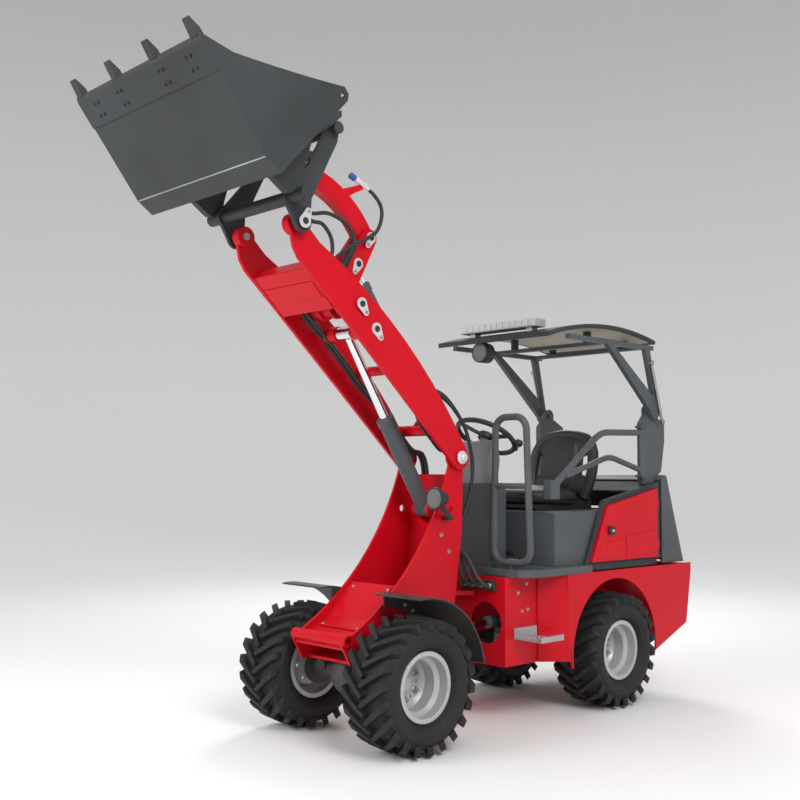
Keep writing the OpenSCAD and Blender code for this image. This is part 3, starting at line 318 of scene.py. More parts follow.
red_coat = sprayed("red_gloss_coat", (0.58, 0.004, 0.014), 0.32, (0.30, 0.02, 0.03), dust=0.01,
                   Specular_IOR_Level=0.15, Coat_Weight=0.04, Coat_Roughness=0.1)
dress(red_coat, "rear_frame", "rear_fenders", "counterweight", "side_cover_left",
      "side_cover_right")

# Platform, cowl, seat box, hood, posts, rails and cylinder barrels: folded sheet, plate and tube.
# All are welded up and sprayed in one satin dark grey, which chips to a lighter grey on edges.
grey_coat = sprayed("dark_grey_satin_coat", (0.080, 0.088, 0.096), 0.48, (0.20, 0.21, 0.22),
                    dust=0.08, peel=340.0, shift=0.10, Specular_IOR_Level=0.3)
dress(grey_coat, "platform", "cowl", "seat_box", "rear_hood", "rops_posts", "canopy_frame",
      "handrail", "gate", "steer_barrel", "lift_barrel", "tilt_barrel")

# Bucket and quick hitch: thick welded plate in a darker grey.
# The coat is dulled by use and uneven in tone, with dust on what lies flat.
worn_grey = sprayed("worn_grey_coat", (0.041, 0.045, 0.048), 0.5, (0.20, 0.20, 0.20), dust=0.10,
                    peel=200.0, bump=0.05, shift=0.14, Specular_IOR_Level=0.3)
dress(worn_grey, "quick_hitch", "bucket")

# Axles, engine and coupler block: cast lumps with machined faces, bolted into the frames.
# They are sprayed satin black, over the coarse grain of the casting.
cast_black = sprayed("cast_black_coat", (0.022, 0.022, 0.024), 0.5, (0.12, 0.12, 0.12), dust=0.3,
                     peel=90.0, bump=0.12)
dress(cast_black, "rear_axle", "front_axle", "engine", "coupler_block")

# Steering wheel, console, front mudguards and lamp shells: black plastic, moulded in one go.
# The mould leaves a fine grain, and the edges don't chip to another colour.
moulded = sprayed("moulded_black", (0.020, 0.020, 0.022), 0.5, (0.05, 0.05, 0.05), dust=0.15,
                  peel=700.0, bump=0.25, wear=0.003)
dress(moulded, "steering_wheel", "joystick_console", "front_fenders", "headlamp", "roof_lamp")

# Dashboard: a hood moulded in light grey plastic.
# It is clipped over the steering column and carries the instruments.
hood_grey = sprayed("moulded_light_grey", (0.20, 0.205, 0.21), 0.5, (0.25, 0.25, 0.25), dust=0.06,
                    peel=700.0, bump=0.2, wear=0.003)
dress(hood_grey, "dashboard")

# Pins and canopy stays: turned bright steel bar.
# The pins are pushed through the bored eyes, and the stays hang between canopy and posts.
turned = sprayed("turned_steel", (0.42, 0.42, 0.43), 0.32, (0.6, 0.6, 0.6), dust=0.1, peel=500.0,
                 bump=0.05, metallic=1.0)
dress(turned, "pivot_pins", "boom_pin", "crank_pin", "link_pin", "tip_pins", "canopy_stays")

# Cylinder rods: ground steel bar under hard chrome, with a thin film of oil.
# Each slides in its barrel and is pinned at its eye.
chrome = sprayed("hard_chrome", (0.78, 0.79, 0.81), 0.12, (0.85, 0.85, 0.85), dust=0.04,
                 peel=900.0, bump=0.01, metallic=1.0)
dress(chrome, "lift_rod", "tilt_rod", "steer_rod")

# Step and light bar: perforated sheet, hot dip galvanised, and a bar of extruded aluminium.
# The step is bolted to the frame's side, and the bar to the front of the roof.
galvanised = sprayed("galvanised_sheet", (0.50, 0.52, 0.53), 0.45, (0.6, 0.6, 0.6), dust=0.2,
                     peel=60.0, bump=0.05, shift=0.25, metallic=0.8)
dress(galvanised, "step", "light_bar")

# Roof and engine bay: a crowned panel and a box of folded sheet, both in matt dark grey.
# The roof is screwed to the canopy's frame, and the box stands on the rear frame.
matt_coat = sprayed("matt_grey_coat", (0.050, 0.053, 0.057), 0.75, (0.12, 0.12, 0.12), dust=0.02,
                    peel=500.0, bump=0.1, Specular_IOR_Level=0.12)
dress(matt_coat, "roof", "engine_bay")

# Front frame, boom, crank and link: thick steel plate, flame cut, bored and welded.
# They have the same gloss red coat as the rear frame.
dress(red_coat, "front_frame", "boom", "crank", "link")

# Rims and tyres: discs pressed from steel and sprayed silver, with black lugged rubber on them.
# Each pair turns on its hub as one wheel.
AXLE_X, HUB_Z = 0.8, 0.330
wheels = [("front_left", AXLE_X, 1), ("front_right", AXLE_X, -1),
          ("rear_left", -AXLE_X, 1), ("rear_right", -AXLE_X, -1)]
silver_coat = sprayed("silver_coat", (0.50, 0.51, 0.52), 0.38, (0.3, 0.3, 0.3), dust=0.15,
                      metallic=0.3)
rubber = sprayed("tyre_rubber", (0.013, 0.013, 0.014), 0.65, (0.05, 0.05, 0.05), dust=0.06,
                 peel=220.0, bump=0.2, Specular_IOR_Level=0.3)
for wheel, x, side in wheels:
    dress(silver_coat, "rim_" + wheel)
    dress(rubber, "tyre_" + wheel)

# Fasteners: zinc plated hexagon bolts with washers, drawn up on the plates that they hold.
# Each group is one piece, made head by head, and rides on the body that it is screwed into.
zinc = sprayed("zinc_plate", (0.46, 0.46, 0.44), 0.34, (0.55, 0.55, 0.55), dust=0.08, peel=300.0,
               bump=0.05, wear=0.001, metallic=1.0)
SIDES = (1, -1)


def piece(name, points, faces, material, body, smooth=40):
    mesh = bpy.data.meshes.new(name)
    mesh.from_pydata([tuple(p) for p in points], [], faces)
    bm = bmesh.new()
    bm.from_mesh(mesh)
    bmesh.ops.recalc_face_normals(bm, faces=bm.faces)
    for edge in bm.edges:
        edge.smooth = len(edge.link_faces) == 2 and edge.calc_face_angle() < radians(smooth)
    for face in bm.faces:
        face.smooth = True
    bm.to_mesh(mesh)
    bm.free()
    mesh.materials.append(material)
    obj = bpy.data.objects.new(name, mesh)
    scene.collection.objects.link(obj)
    if body:
        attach(obj, body)
    return obj


def tube(faces, first, rings, sides):
    for j in range(rings - 1):
        for k in range(sides):
            a, b = first + j * sides + k, first + j * sides + (k + 1) % sides
            faces.append((a, b, b + sides, a + sides))
    for j in (0, rings - 1):
        faces.append(tuple(first + j * sides + k for k in range(sides)))


def across(normal):
    n = Vector(normal).normalized()
    u = Vector((0, 0, 1)) - n * n.z
    if u.length < 1e-6:
        u = Vector((1, 0, 0)) - n * n.x
    u.normalize()
    return u, n.cross(u), n


def lathe(points, faces, centre, normal, profile, sides=24, turn=0.0):
    u, v, n = across(normal)
    first = len(points)
    for r, h in profile:
        for k in range(sides):
            a = turn + 2 * pi * k / sides
            points.append(Vector(centre) + r * (cos(a) * u + sin(a) * v) + h * n)
    tube(faces, first, len(profile), sides)


def bolts(name, places, size, body, material=zinc):
    washer = [(1.05 * size, -0.0005), (1.05 * size, 0.16 * size), (0.95 * size, 0.2 * size),
              (0.6 * size, 0.2 * size)]
    head = [(0.75 * size, 0.15 * size), (0.75 * size, 0.72 * size), (0.62 * size, 0.85 * size),
            (0.1 * size, 0.86 * size)]
    points, faces = [], []
    for place, normal in places:
        lathe(points, faces, place, normal, washer, 20)
        lathe(points, faces, place, normal, head, 6)
    piece(name, points, faces, material, body, 25)


RISE, ROLL = radians(43.8), radians(52)
PIVOT, TIP = (0.240, 1.430), (1.37535, 2.51877)


def on_boom(s, h, y):
    return at(PIVOT[0] + s * cos(RISE) - h * sin(RISE), y,
              PIVOT[1] + s * sin(RISE) + h * cos(RISE))


def on_bucket(x, z, y):
    return at(TIP[0] + x * cos(ROLL) - z * sin(ROLL), y,
              TIP[1] + x * sin(ROLL) + z * cos(ROLL))


EDGE_X, EDGE_Z = 0.929, -0.222
under = on_bucket(0, -1, 0) - on_bucket(0, 0, 0)
bolts("edge_bolts",
      [(on_bucket(EDGE_X - back, EDGE_Z, y), under)
       for y in (-0.410, -0.375, -0.195, -0.160, 0.160, 0.195, 0.375, 0.410)
       for back in (0.05, 0.11)],
      0.009, "hitch", worn_grey)
FENDER_R, FENDER_Z, FENDER_FACE = 0.372, 0.345, 0.2063
bolts("fender_bolts",
      [(at(AXLE_X + FENDER_R * cos(radians(a)), side * FENDER_FACE,
           FENDER_Z + FENDER_R * sin(radians(a))), (0, side, 0))
       for side in SIDES for a in (116, 126, 136, 146)],
      0.011, "front_frame")
TOWER_FACE, BOX_SIDE = 0.1953, 0.3703
bolts("tower_bolts",
      [(at(x, side * TOWER_FACE, z), (0, side, 0))
       for side in SIDES for x, z in ((0.30, 0.93), (0.30, 0.62), (0.36, 1.02))],
      0.011, "front_frame")
bolts("box_bolts",
      [(at(x, side * BOX_SIDE, z), (0, side, 0)) for side in SIDES
       for x, z in ((-0.09, 0.60), (-0.14, 0.605), (-0.06, 0.70), (-0.13, 0.745))],
      0.010, "rear_frame")

# Nose cover: a folded red sheet on the sloping plate between the tower's sides.
# It is held by four small bolts and lifts off for the hoses behind it.
NOSE_HALF, NOSE_LOW, NOSE_TOP = 0.150, 0.0006, 0.0045
fold_line = [((0.668, 0.7635), (0.728, 0.685)),
             ((0.823, 0.6015), (0.63, 0.777)),
             ((0.905, 0.5635), (0.422, 0.907))]
ring = ((NOSE_LOW, -NOSE_HALF), (NOSE_LOW, NOSE_HALF), (NOSE_TOP, NOSE_HALF), (NOSE_TOP, -NOSE_HALF))
points, faces = [], []
for (x, z), (nx, nz) in fold_line:
    points += [at(x + nx * h, y, z + nz * h) for h, y in ring]
tube(faces, 0, len(fold_line), len(ring))
piece("nose_cover", points, faces, red_coat, "front_frame", 15)
bolts("nose_bolts",
      [(at(x + 0.7 * NOSE_TOP, y, z + 0.72 * NOSE_TOP), normal)
       for x, z, normal in ((0.686, 0.745, (0.728, 0, 0.685)), (0.89, 0.5705, (0.422, 0, 0.907)))
       for y in (-0.132, 0.132)],
      0.008, "front_frame")

# Floor weld: the bead along the bend of the bucket's floor, laid in short runs.
# It is brushed back to bare metal, so it shows as a pale line.
BEAD = [(0.0026, -0.0062), (0.0034, 0.0), (0.0026, 0.0062)]
points, faces = [], []
for run in range(-52, 52):
    lathe(points, faces, on_bucket(0.383, -0.2148, run / 100 + 0.005), (0, 1, 0), BEAD, 8)
piece("floor_weld", points, faces, galvanised, "hitch")

# Pin keepers: bright zinc teardrop plates that lock the linkage pins, each held by one bolt.
# The pin's dark end stands in the wide half of the plate.
# The boom's pivot has a round bright cap instead.
bright = sprayed("bright_zinc", (0.74, 0.74, 0.73), 0.32, (0.8, 0.8, 0.8), dust=0.03, peel=300.0,
                 bump=0.03, wear=0.001, metallic=0.4)
KEEPER_T, KEEPER_EDGE, HALF_TURN = 0.006, 0.0015, 12
PIN_END = [(0.016, 0.0), (0.016, 0.006), (0.014, 0.008), (0.005, 0.008), (0.004, 0.005),
           (0.0005, 0.005)]


def keeper(points, faces, wide, narrow, r, side, y):
    d = (narrow - wide).normalized()
    n = Vector((-d.z, 0, d.x))
    ring = []
    for centre, size, start in ((wide, r, pi / 2), (narrow, 0.55 * r, -pi / 2)):
        for k in range(HALF_TURN + 1):
            t = start + pi * k / HALF_TURN
            ring.append(centre + size * (cos(t) * d + sin(t) * n))
    middle = (wide + narrow) / 2
    first = len(points)
    for h, inset in ((0.0003, 0.0), (KEEPER_T - KEEPER_EDGE, 0.0), (KEEPER_T, KEEPER_EDGE)):
        for p in ring:
            q = p + (middle - p).normalized() * inset
            points.append(Vector((q.x, side * (y + h), q.z)))
    tube(faces, first, 3, len(ring))


def keepers(name, body, spots):
    points, faces, heads, pins, pin_faces = [], [], [], [], []
    for wide, narrow, y, r in spots:
        for side in SIDES:
            way = (0, side, 0)
            keeper(points, faces, wide, narrow, r, side, y)
            heads.append((Vector((narrow.x, side * (y + KEEPER_T), narrow.z)), way))
            end = Vector((wide.x, side * (y + KEEPER_T - 0.002), wide.z))
            lathe(pins, pin_faces, end, way, PIN_END, 24)
    piece(name, points, faces, bright, body, 30)
    piece(name + "_pins", pins, pin_faces, cast_black, body)
    bolts(name + "_bolts", heads, 0.009, body)


def turned_piece(name, places, profile, material, body, sides=24, turn=0.0, smooth=40):
    points, faces = [], []
    for place, normal in places:
        lathe(points, faces, place, normal, profile, sides, turn)
    piece(name, points, faces, material, body, smooth)


keepers("boom_keepers", "boom",
        [(on_boom(1.045, 0.037, 0), on_boom(0.998, 0.027, 0), 0.235, 0.032),
         (on_boom(0.888, 0.030, 0), on_boom(0.841, 0.020, 0), 0.225, 0.032)])
turned_piece("pivot_caps", [(on_boom(0, 0, side * 0.2335), (0, side, 0)) for side in SIDES],
             [(0.036, 0.0), (0.036, 0.006), (0.032, 0.010), (0.021, 0.011), (0.020, 0.024),
              (0.016, 0.027), (0.006, 0.027), (0.005, 0.020), (0.0005, 0.020)],
             bright, "boom", 32, smooth=30)
keepers("hitch_keepers", "hitch",
        [(on_bucket(0, 0, 0), on_bucket(0.026, 0.045, 0), 0.2872, 0.033)])
keepers("crank_keepers", "crank",
        [(at(0.7539, 0, 2.5721), at(0.776, 0, 2.531), 0.0622, 0.030),
         (at(0.8349, 0, 2.4243), at(0.857, 0, 2.383), 0.0542, 0.030)])

# Wheel nuts and hub caps: six zinc plated nuts on studs hold each dished disc to its hub.
# A pressed silver cap is pushed into the hub's bore.
STUD_R, DISC_FACE, CAP_FACE = 0.080, 0.370, 0.3815
NUT = [([(0.0165, -0.0005), (0.0165, 0.004), (0.012, 0.007)], 20),
       ([(0.0135, 0.003), (0.0135, 0.017), (0.011, 0.020), (0.0065, 0.020)], 6),
       ([(0.0065, 0.018), (0.0065, 0.030), (0.0052, 0.0315), (0.0005, 0.0315)], 14)]
HUB_CAP = [(0.044, 0.0), (0.044, 0.006), (0.038, 0.011), (0.020, 0.014), (0.0005, 0.015)]
for wheel, x, side in wheels:
    points, faces = [], []
    for k in range(6):
        a = radians(60 * k + 30)
        stud = at(x + STUD_R * cos(a), side * DISC_FACE, HUB_Z + STUD_R * sin(a))
        for profile, sides in NUT:
            lathe(points, faces, stud, (0, side, 0), profile, sides)
    piece("nuts_" + wheel, points, faces, zinc, "wheel_" + wheel, 25)
    turned_piece("hub_cap_" + wheel, [(at(x, side * CAP_FACE, HUB_Z), (0, side, 0))], HUB_CAP,
                 silver_coat, "wheel_" + wheel, 32)

# Hoses: black braided rubber with crimped ends, clamped along the boom and looped over pivots.
# A hose that crosses a joint rides on no body, and its shape is baked where it lies.
hose_rubber = sprayed("hose_rubber", (0.020, 0.020, 0.021), 0.55, (0.05, 0.05, 0.05), dust=0.15,
                      peel=900.0, bump=0.3, wear=0.001)
THICK, THIN, STRAND = 0.011, 0.010, 0.009


def smooth_line(spots, per=10):
    full = [2 * spots[0] - spots[1]] + spots + [2 * spots[-1] - spots[-2]]
    line = []
    for i in range(1, len(full) - 2):
        a, b, c, d = full[i - 1:i + 3]
        for k in range(per):
            t = k / per
            line.append(0.5 * (2 * b + (c - a) * t + (2 * a - 5 * b + 4 * c - d) * t * t
                               + (3 * b - a - 3 * c + d) * t ** 3))
    return line + [spots[-1]]


def sweep(points, faces, line, radii, sides=12):
    first = len(points)
    u = None
    for i, p in enumerate(line):
        d = (line[min(i + 1, len(line) - 1)] - line[max(i - 1, 0)]).normalized()
        if u is None:
            u = across(d)[0]
        u = (u - d * u.dot(d)).normalized()
        v = d.cross(u)
        for k in range(sides):
            a = 2 * pi * k / sides
            points.append(p + radii[i] * (cos(a) * u + sin(a) * v))
    tube(faces, first, len(line), sides)


def hose(name, spots, r, body, *bend):
    line = smooth_line(spots)
    points, faces = [], []
    sweep(points, faces, line, [r] * len(line))
    obj = piece(name, points, faces, hose_rubber, None if bend else body)
    if bend:
        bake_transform(obj)


for k, y in enumerate((0.105, 0.135, -0.105, -0.135)):
    tower = [at(x, y, z) for x, z in ((0.180, 0.93), (0.163, 1.10), (0.160, 1.28), (0.170, 1.39),
                                      (0.205, 1.455))]
    foot = [on_boom(s, h, y) for s, h in ((0.06, 0.005), (0.15, 0.0), (0.26, 0.0))]
    meet = on_boom(0.36, 0.02, y * 1.1)
    arm = [on_boom(s, h, y * spread)
           for s, h, spread in ((0.55, 0.0, 1.2), (0.80, 0.0, 1.2), (1.05, -0.015, 1.2),
                                (1.28, -0.015, 1.1), (1.36, -0.015, 1.0))]
    hose("tower_hose_%d" % (k + 1), tower + foot + [meet], THICK,
         "front_frame", "boom", at(0.172, y, 1.38), on_boom(0.12, 0.0, y))
    hose("boom_hose_%d" % (k + 1), [meet] + arm, THICK, "boom")
hose("tip_hose_1",
     [on_boom(1.190, 0.100, 0.135)]
     + [on_boom(s, h, 0.130) for s, h in ((1.222, 0.220), (1.247, 0.303), (1.307, 0.330),
                                          (1.379, 0.315), (1.458, 0.264))]
     + [on_bucket(x, z, 0.130) for x, z in ((-0.027, 0.186), (0.05, 0.13), (0.11, 0.09),
                                            (0.135, 0.047))],
     THIN, "boom", "hitch", on_boom(1.27, 0.32, 0.130), on_boom(1.50, 0.21, 0.130))
hose("tip_hose_2",
     [on_boom(s, h, 0.160) for s, h in ((1.265, 0.010), (1.301, 0.104), (1.328, 0.145),
                                        (1.378, 0.176), (1.451, 0.176), (1.503, 0.132))]
     + [on_bucket(x, z, 0.160) for x, z in ((0.035, 0.100), (0.09, 0.078), (0.130, 0.047))],
     THIN, "boom", "hitch", on_boom(1.34, 0.15, 0.160), on_boom(1.49, 0.15, 0.160))
hose("tip_strand",
     [on_boom(1.240, 0.290, 0.148), on_boom(1.256, 0.245, 0.150), on_boom(1.271, 0.169, 0.152),
      on_boom(1.279, 0.102, 0.154), on_boom(1.275, 0.010, 0.156)],
     STRAND, "boom")
for k, y in enumerate((0.112, 0.142)):
    rise = [at(x + step * k, y, z)
            for x, step, z in ((0.178, 0.0, 1.02), (0.120, 0.02, 1.09), (0.060, 0.03, 1.19),
                               (0.022, 0.035, 1.34), (0.034, 0.035, 1.47), (0.085, 0.035, 1.60))]
    fall = [on_boom(s, h - drop * k, y)
            for s, h, drop in ((0.17, 0.245, 0.03), (0.28, 0.222, 0.03), (0.38, 0.15, 0.0),
                               (0.46, 0.04, 0.0))]
    hose("pivot_loop_%d" % (k + 1), rise + fall, THIN,
         "front_frame", "boom", at(0.03, y, 1.36), on_boom(0.19, 0.23, y))
PORTS, PORT_Z = (0.110, 0.170, 0.230, 0.290), 0.742
for k, (y, top) in enumerate(zip(PORTS, (0.97, 0.95, 0.93, 0.91))):
    spots = [at(x, y * part + shift, z)
             for x, part, shift, z in ((0.086, 1.0, 0.0, 0.740), (0.120, 1.0, 0.0, 0.745),
                                       (0.150, 0.9, 0.0, 0.79), (0.155, 0.75, 0.0, 0.86),
                                       (0.170, 0.55, 0.03, 0.91), (0.185, 0.5, 0.04, top))]
    hose("pivot_hose_%d" % (k + 1), spots, THICK,
         "rear_frame", "front_frame", at(0.105, y, PORT_Z), at(0.165, y * 0.6 + 0.03, 0.90))
CRIMP = [(1.05 * THICK, -0.012), (1.35 * THICK, -0.010), (1.35 * THICK, 0.022), (1.15 * THICK, 0.026)]
UNION = [(1.6 * THICK, -0.030), (1.6 * THICK, -0.010), (1.2 * THICK, -0.009)]
points, faces = [], []
for y in PORTS:
    lathe(points, faces, at(0.068, y, PORT_Z), (1, 0, 0), CRIMP, 18)
    lathe(points, faces, at(0.068, y, PORT_Z), (1, 0, 0), UNION, 6)
piece("coupler_ferrules", points, faces, zinc, "rear_frame", 25)

# Link coupling: a red tab, welded to the curved link, that carries a bright quick coupling.
# A blue plastic cap keeps dirt out of it.
# Its hose loops behind the link, past the crank and down between the boom's plates.
blue_cap = sprayed("blue_cap_plastic", (0.02, 0.09, 0.42), 0.4, (0.05, 0.15, 0.5), dust=0.05,
                   peel=500.0, bump=0.1)
TAB_HALF = 0.003
tab_foot = at(0.884, 0, 2.798)
tab_way, tab_side = Vector((-0.9087, 0, 0.4173)), Vector((0.4173, 0, 0.9087))
coupling_way = Vector((0.923, 0, 0.384))
coupling_at = tab_foot + tab_way * 0.150
points, faces = [], []
for h, w in ((0.0, 0.024), (0.055, 0.019), (0.158, 0.013)):
    for side, y in ((-w, -TAB_HALF), (w, -TAB_HALF), (w, TAB_HALF), (-w, TAB_HALF)):
        points.append(tab_foot + tab_way * h + tab_side * side + Vector((0, y, 0)))
tube(faces, 0, 3, 4)
piece("link_tab", points, faces, red_coat, "link", 15)
turned_piece("link_coupling", [(coupling_at, coupling_way)],
             [(0.009, -0.035), (0.012, -0.034), (0.012, -0.006), (0.017, -0.005), (0.017, 0.008),
              (0.012, 0.010), (0.012, 0.040), (0.0145, 0.041), (0.0145, 0.066), (0.011, 0.068),
              (0.011, 0.078)],
             bright, "link")
turned_piece("link_cap", [(coupling_at + coupling_way * 0.072, coupling_way)],
             [(0.016, 0.0), (0.0175, 0.002), (0.0175, 0.028), (0.015, 0.034), (0.0005, 0.036)],
             blue_cap, "link")
crank_spot = at(0.825, 0.097, 2.545)
boom_spot = on_boom(1.235, 0.275, 0.128)
hose("link_hose",
     [coupling_at - coupling_way * 0.03, at(0.688, 0.016, 2.818), at(0.660, 0.036, 2.762),
      at(0.678, 0.062, 2.690), at(0.735, 0.086, 2.605), crank_spot],
     THIN, "link", "crank", at(0.668, 0.03, 2.79), at(0.715, 0.08, 2.63))
hose("crank_hose",
     [crank_spot, at(0.895, 0.112, 2.514), boom_spot, on_boom(1.215, 0.18, 0.128),
      on_boom(1.19, 0.10, 0.130)],
     THIN, "crank", "boom", at(0.835, 0.10, 2.54), boom_spot)
line = smooth_line([on_boom(1.248, 0.305, 0.132), on_boom(1.222, 0.220, 0.132),
                    on_boom(1.205, 0.145, 0.133), on_boom(1.170, 0.050, 0.135),
                    on_boom(1.10, 0.0, 0.138)], 24)
points, faces = [], []
sweep(points, faces, line, [0.0225 if k % 3 else 0.0195 for k in range(len(line))], 16)
piece("hose_sleeve", points, faces, hose_rubber, "boom")

# Seat: stuffed pads in black vinyl with piped seams, and a rolled rim round the backrest.
# They are drawn over a moulded plastic shell, which is bolted to the seat box.
vinyl = sprayed("black_vinyl", (0.018, 0.018, 0.019), 0.48, (0.03, 0.03, 0.03), dust=0.08,
                peel=420.0, bump=0.35, wear=0.001)
GRID, SEAM, PIPING_R, SOFT = 18, 72, 0.0045, 0.8


def cushion(name, centre, u, v, n, half, crown, power=3.4):
    points, faces = [], []
    index = {}

    def vertex(a, b, c):
        key = (round(a, 5), round(b, 5), round(c, 5))
        if key not in index:
            size = (abs(a) ** power + abs(b) ** power + abs(c) ** power) ** (1 / power)
            p, q, r = a / size, b / size, c / size
            swell = crown * (1 - p * p) * (1 - q * q) * (1 if r > 0 else 0.2)
            index[key] = len(points)
            points.append(centre + u * p * half[0] + v * q * half[1] + n * (r * half[2] + swell))
        return index[key]

    for axis, sign, i, j in product(range(3), (-1, 1), range(GRID), range(GRID)):
        quad = []
        for di, dj in ((0, 0), (1, 0), (1, 1), (0, 1)):
            e = [0, 0, 0]
            e[axis] = sign
            e[(axis + 1) % 3] = -1 + 2 * (i + di) / GRID
            e[(axis + 2) % 3] = -1 + 2 * (j + dj) / GRID
            quad.append(vertex(*e))
        faces.append(tuple(quad))
    obj = piece(name, points, faces, vinyl, "rear_frame", 80)
    seam = []
    for k in range(SEAM):
        a, b = cos(2 * pi * k / SEAM), sin(2 * pi * k / SEAM)
        size = (abs(a) ** power + abs(b) ** power) ** (1 / power)
        seam.append(centre + u * a / size * half[0] * 1.004 + v * b / size * half[1] * 1.004)
    points, faces = [], []
    sweep(points, faces, seam + [seam[0]], [PIPING_R] * (SEAM + 1), 8)
    piece(name + "_piping", points, faces, vinyl, "rear_frame")
    return obj


wide = Vector((0, 1, 0))
lean = Vector((-0.225, 0, 1)).normalized()
front = Vector((lean.z, 0, -lean.x))
middle = at(-0.945, 0, 1.395)
base = cushion("seat_cushion", at(-0.645, 0, 1.200), Vector((1, 0, 0.03)), wide,
               Vector((-0.03, 0, 1)), (0.225, 0.235, 0.055), 0.022)
rest = cushion("seat_backrest", middle + front * 0.012, lean, wide, front,
               (0.185, 0.138, 0.046), 0.020)
cushion("seat_shoulder", middle + lean * 0.118, lean, wide, front, (0.075, 0.200, 0.036), 0.008, 2.6)
cushion("seat_lumbar", middle - lean * 0.125, lean, wide, front, (0.085, 0.205, 0.040), 0.012, 2.6)
half_rim = [(-0.205, 0.195), (-0.10, 0.222), (0.0, 0.230), (0.10, 0.212), (0.172, 0.150)]
whole_rim = half_rim + [(0.198, 0.0)] + [(a, -b) for a, b in reversed(half_rim)]
line = smooth_line([middle + lean * a + wide * b for a, b in whole_rim], 8)
points, faces = [], []
sweep(points, faces, line,
      [0.030 + 0.006 * sin(pi * k / (len(line) - 1)) for k in range(len(line))], 20)
rim = piece("seat_rim", points, faces, vinyl, "rear_frame", 80)
for name, half, outline in (
        ("seat_shell", 0.205, ((-0.425, 1.1305), (-0.410, 1.150), (-0.440, 1.165), (-0.86, 1.165),
                               (-0.905, 1.205), (-0.955, 1.205), (-0.965, 1.1305))),
        ("seat_spine", 0.125, ((-0.900, 1.190), (-0.985, 1.560), (-1.010, 1.545), (-0.955, 1.180)))):
    points, faces = [at(x, y, z) for y in (-half, half) for x, z in outline], []
    tube(faces, 0, 2, len(outline))
    piece(name, points, faces, moulded, "rear_frame", 20)
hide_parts("seat")
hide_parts("seat")

# Lamps: clear domed glass over chromed bowls, held in the moulded shells by a black bezel.
# The light bar has a row of twelve frosted plastic lenses, glued into its front.


def plain(name, colour, rough, metallic=0.0, **sockets):
    return new_material(name, rough, metallic, Base_Color=(*colour, 1), **sockets)[0]


glass = plain("lamp_glass", (0.90, 0.94, 0.97), 0.04, Alpha=0.07)
bowl = plain("lamp_bowl", (0.90, 0.91, 0.93), 0.10, 1.0)
frosted = plain("frosted_lens", (0.56, 0.56, 0.55), 0.35, Coat_Weight=0.6)


def lamp(name, centre, r, depth, body):
    way = Vector((1, 0, 0))
    turned_piece(name + "_bowl", [(centre, way)],
                 [(r * 0.90, -0.0005), (r * 0.97, depth), (r * 0.94, depth),
                  (r * 0.84, depth * 0.5), (r * 0.6, depth * 0.2), (r * 0.3, 0.0012),
                  (0.0005, 0.001)],
                 bowl, body, 16, smooth=12)
    turned_piece(name + "_shield", [(centre, way)],
                 [(r * 0.27, 0.0005), (r * 0.27, depth * 0.6), (r * 0.20, depth * 0.75),
                  (0.0005, depth * 0.78)],
                 moulded, body)
    turned_piece(name + "_glass", [(centre + way * depth, way)],
                 [(r * 0.95, 0.0003), (r * 0.95, 0.003), (r * 0.85, 0.0065), (r * 0.5, 0.0105),
                  (0.0005, 0.012)],
                 glass, body, 40)
    turned_piece(name + "_bezel", [(centre, way)],
                 [(r * 0.90, -0.006), (r * 1.0, -0.004), (r * 1.08, depth * 0.6),
                  (r * 1.08, depth + 0.004), (r * 1.03, depth + 0.0065),
                  (r * 0.96, depth + 0.0045), (r * 0.975, depth)],
                 moulded, body, 40)


lamp("headlamp", at(0.4832, 0.284, 1.215), 0.054, 0.022, "front_frame")
lamp("roof_lamp", at(-0.2948, -0.105, 2.067), 0.055, 0.012, "canopy")
BAR_HALF, BAR_LOW, BAR_HIGH, BAR_FACE, CELLS = 0.286, 2.1975, 2.2395, -0.3198, 12
points, faces = [], []
for k in range(CELLS):
    y0, y1 = (-BAR_HALF + 2 * BAR_HALF * (k + e) / CELLS for e in (0.04, 0.96))
    tube(faces, len(points), 3, 4)
    for depth, inset in ((-0.001, 0.0), (0.003, 0.0), (0.0055, 0.004)):
        low, high = BAR_LOW + inset, BAR_HIGH - inset
        points += [at(BAR_FACE + depth, y, z)
                   for y, z in ((y0 + inset, low), (y1 - inset, low), (y1 - inset, high),
                                (y0 + inset, high))]
piece("bar_lenses", points, faces, frosted, "canopy", 20)

# Roof lining: a beige moulded sheet, a little crowned.
# It is clipped under the roof panel and follows its curve.
beige = sprayed("beige_lining", (0.42, 0.37, 0.29), 0.6, (0.5, 0.45, 0.38), dust=0.05, peel=300.0,
                bump=0.15)
LINING_HALF = 0.41


def arc3(p, q, r, n):
    (ax, az), (bx, bz), (cx, cz) = p, q, r
    d = 2 * (ax * (bz - cz) + bx * (cz - az) + cx * (az - bz))
    aa, bb, cc = ax * ax + az * az, bx * bx + bz * bz, cx * cx + cz * cz
    ux = (aa * (bz - cz) + bb * (cz - az) + cc * (az - bz)) / d
    uz = (aa * (cx - bx) + bb * (ax - cx) + cc * (bx - ax)) / d
    t0, t1 = atan2(az - uz, ax - ux), atan2(cz - uz, cx - ux)
    radius = hypot(ax - ux, az - uz)
    turns = [t0 + (t1 - t0) * k / n for k in range(n + 1)]
    return [(ux + radius * cos(t), uz + radius * sin(t)) for t in turns]


line = arc3((-1.345, 2.163), (-0.72, 2.207), (-0.265, 2.119), 24)[1:-1]
spread = (-LINING_HALF, -0.30, 0.0, 0.30, LINING_HALF)
points, faces = [], []
for x, z in line:
    points += [at(x, y, z - 0.0015 - 0.006 * (1 - (y / LINING_HALF) ** 2)) for y in spread]
    points += [at(x, y, z + 0.001) for y in reversed(spread)]
tube(faces, 0, len(line), 2 * len(spread))
piece("roof_lining", points, faces, beige, "canopy", 30)

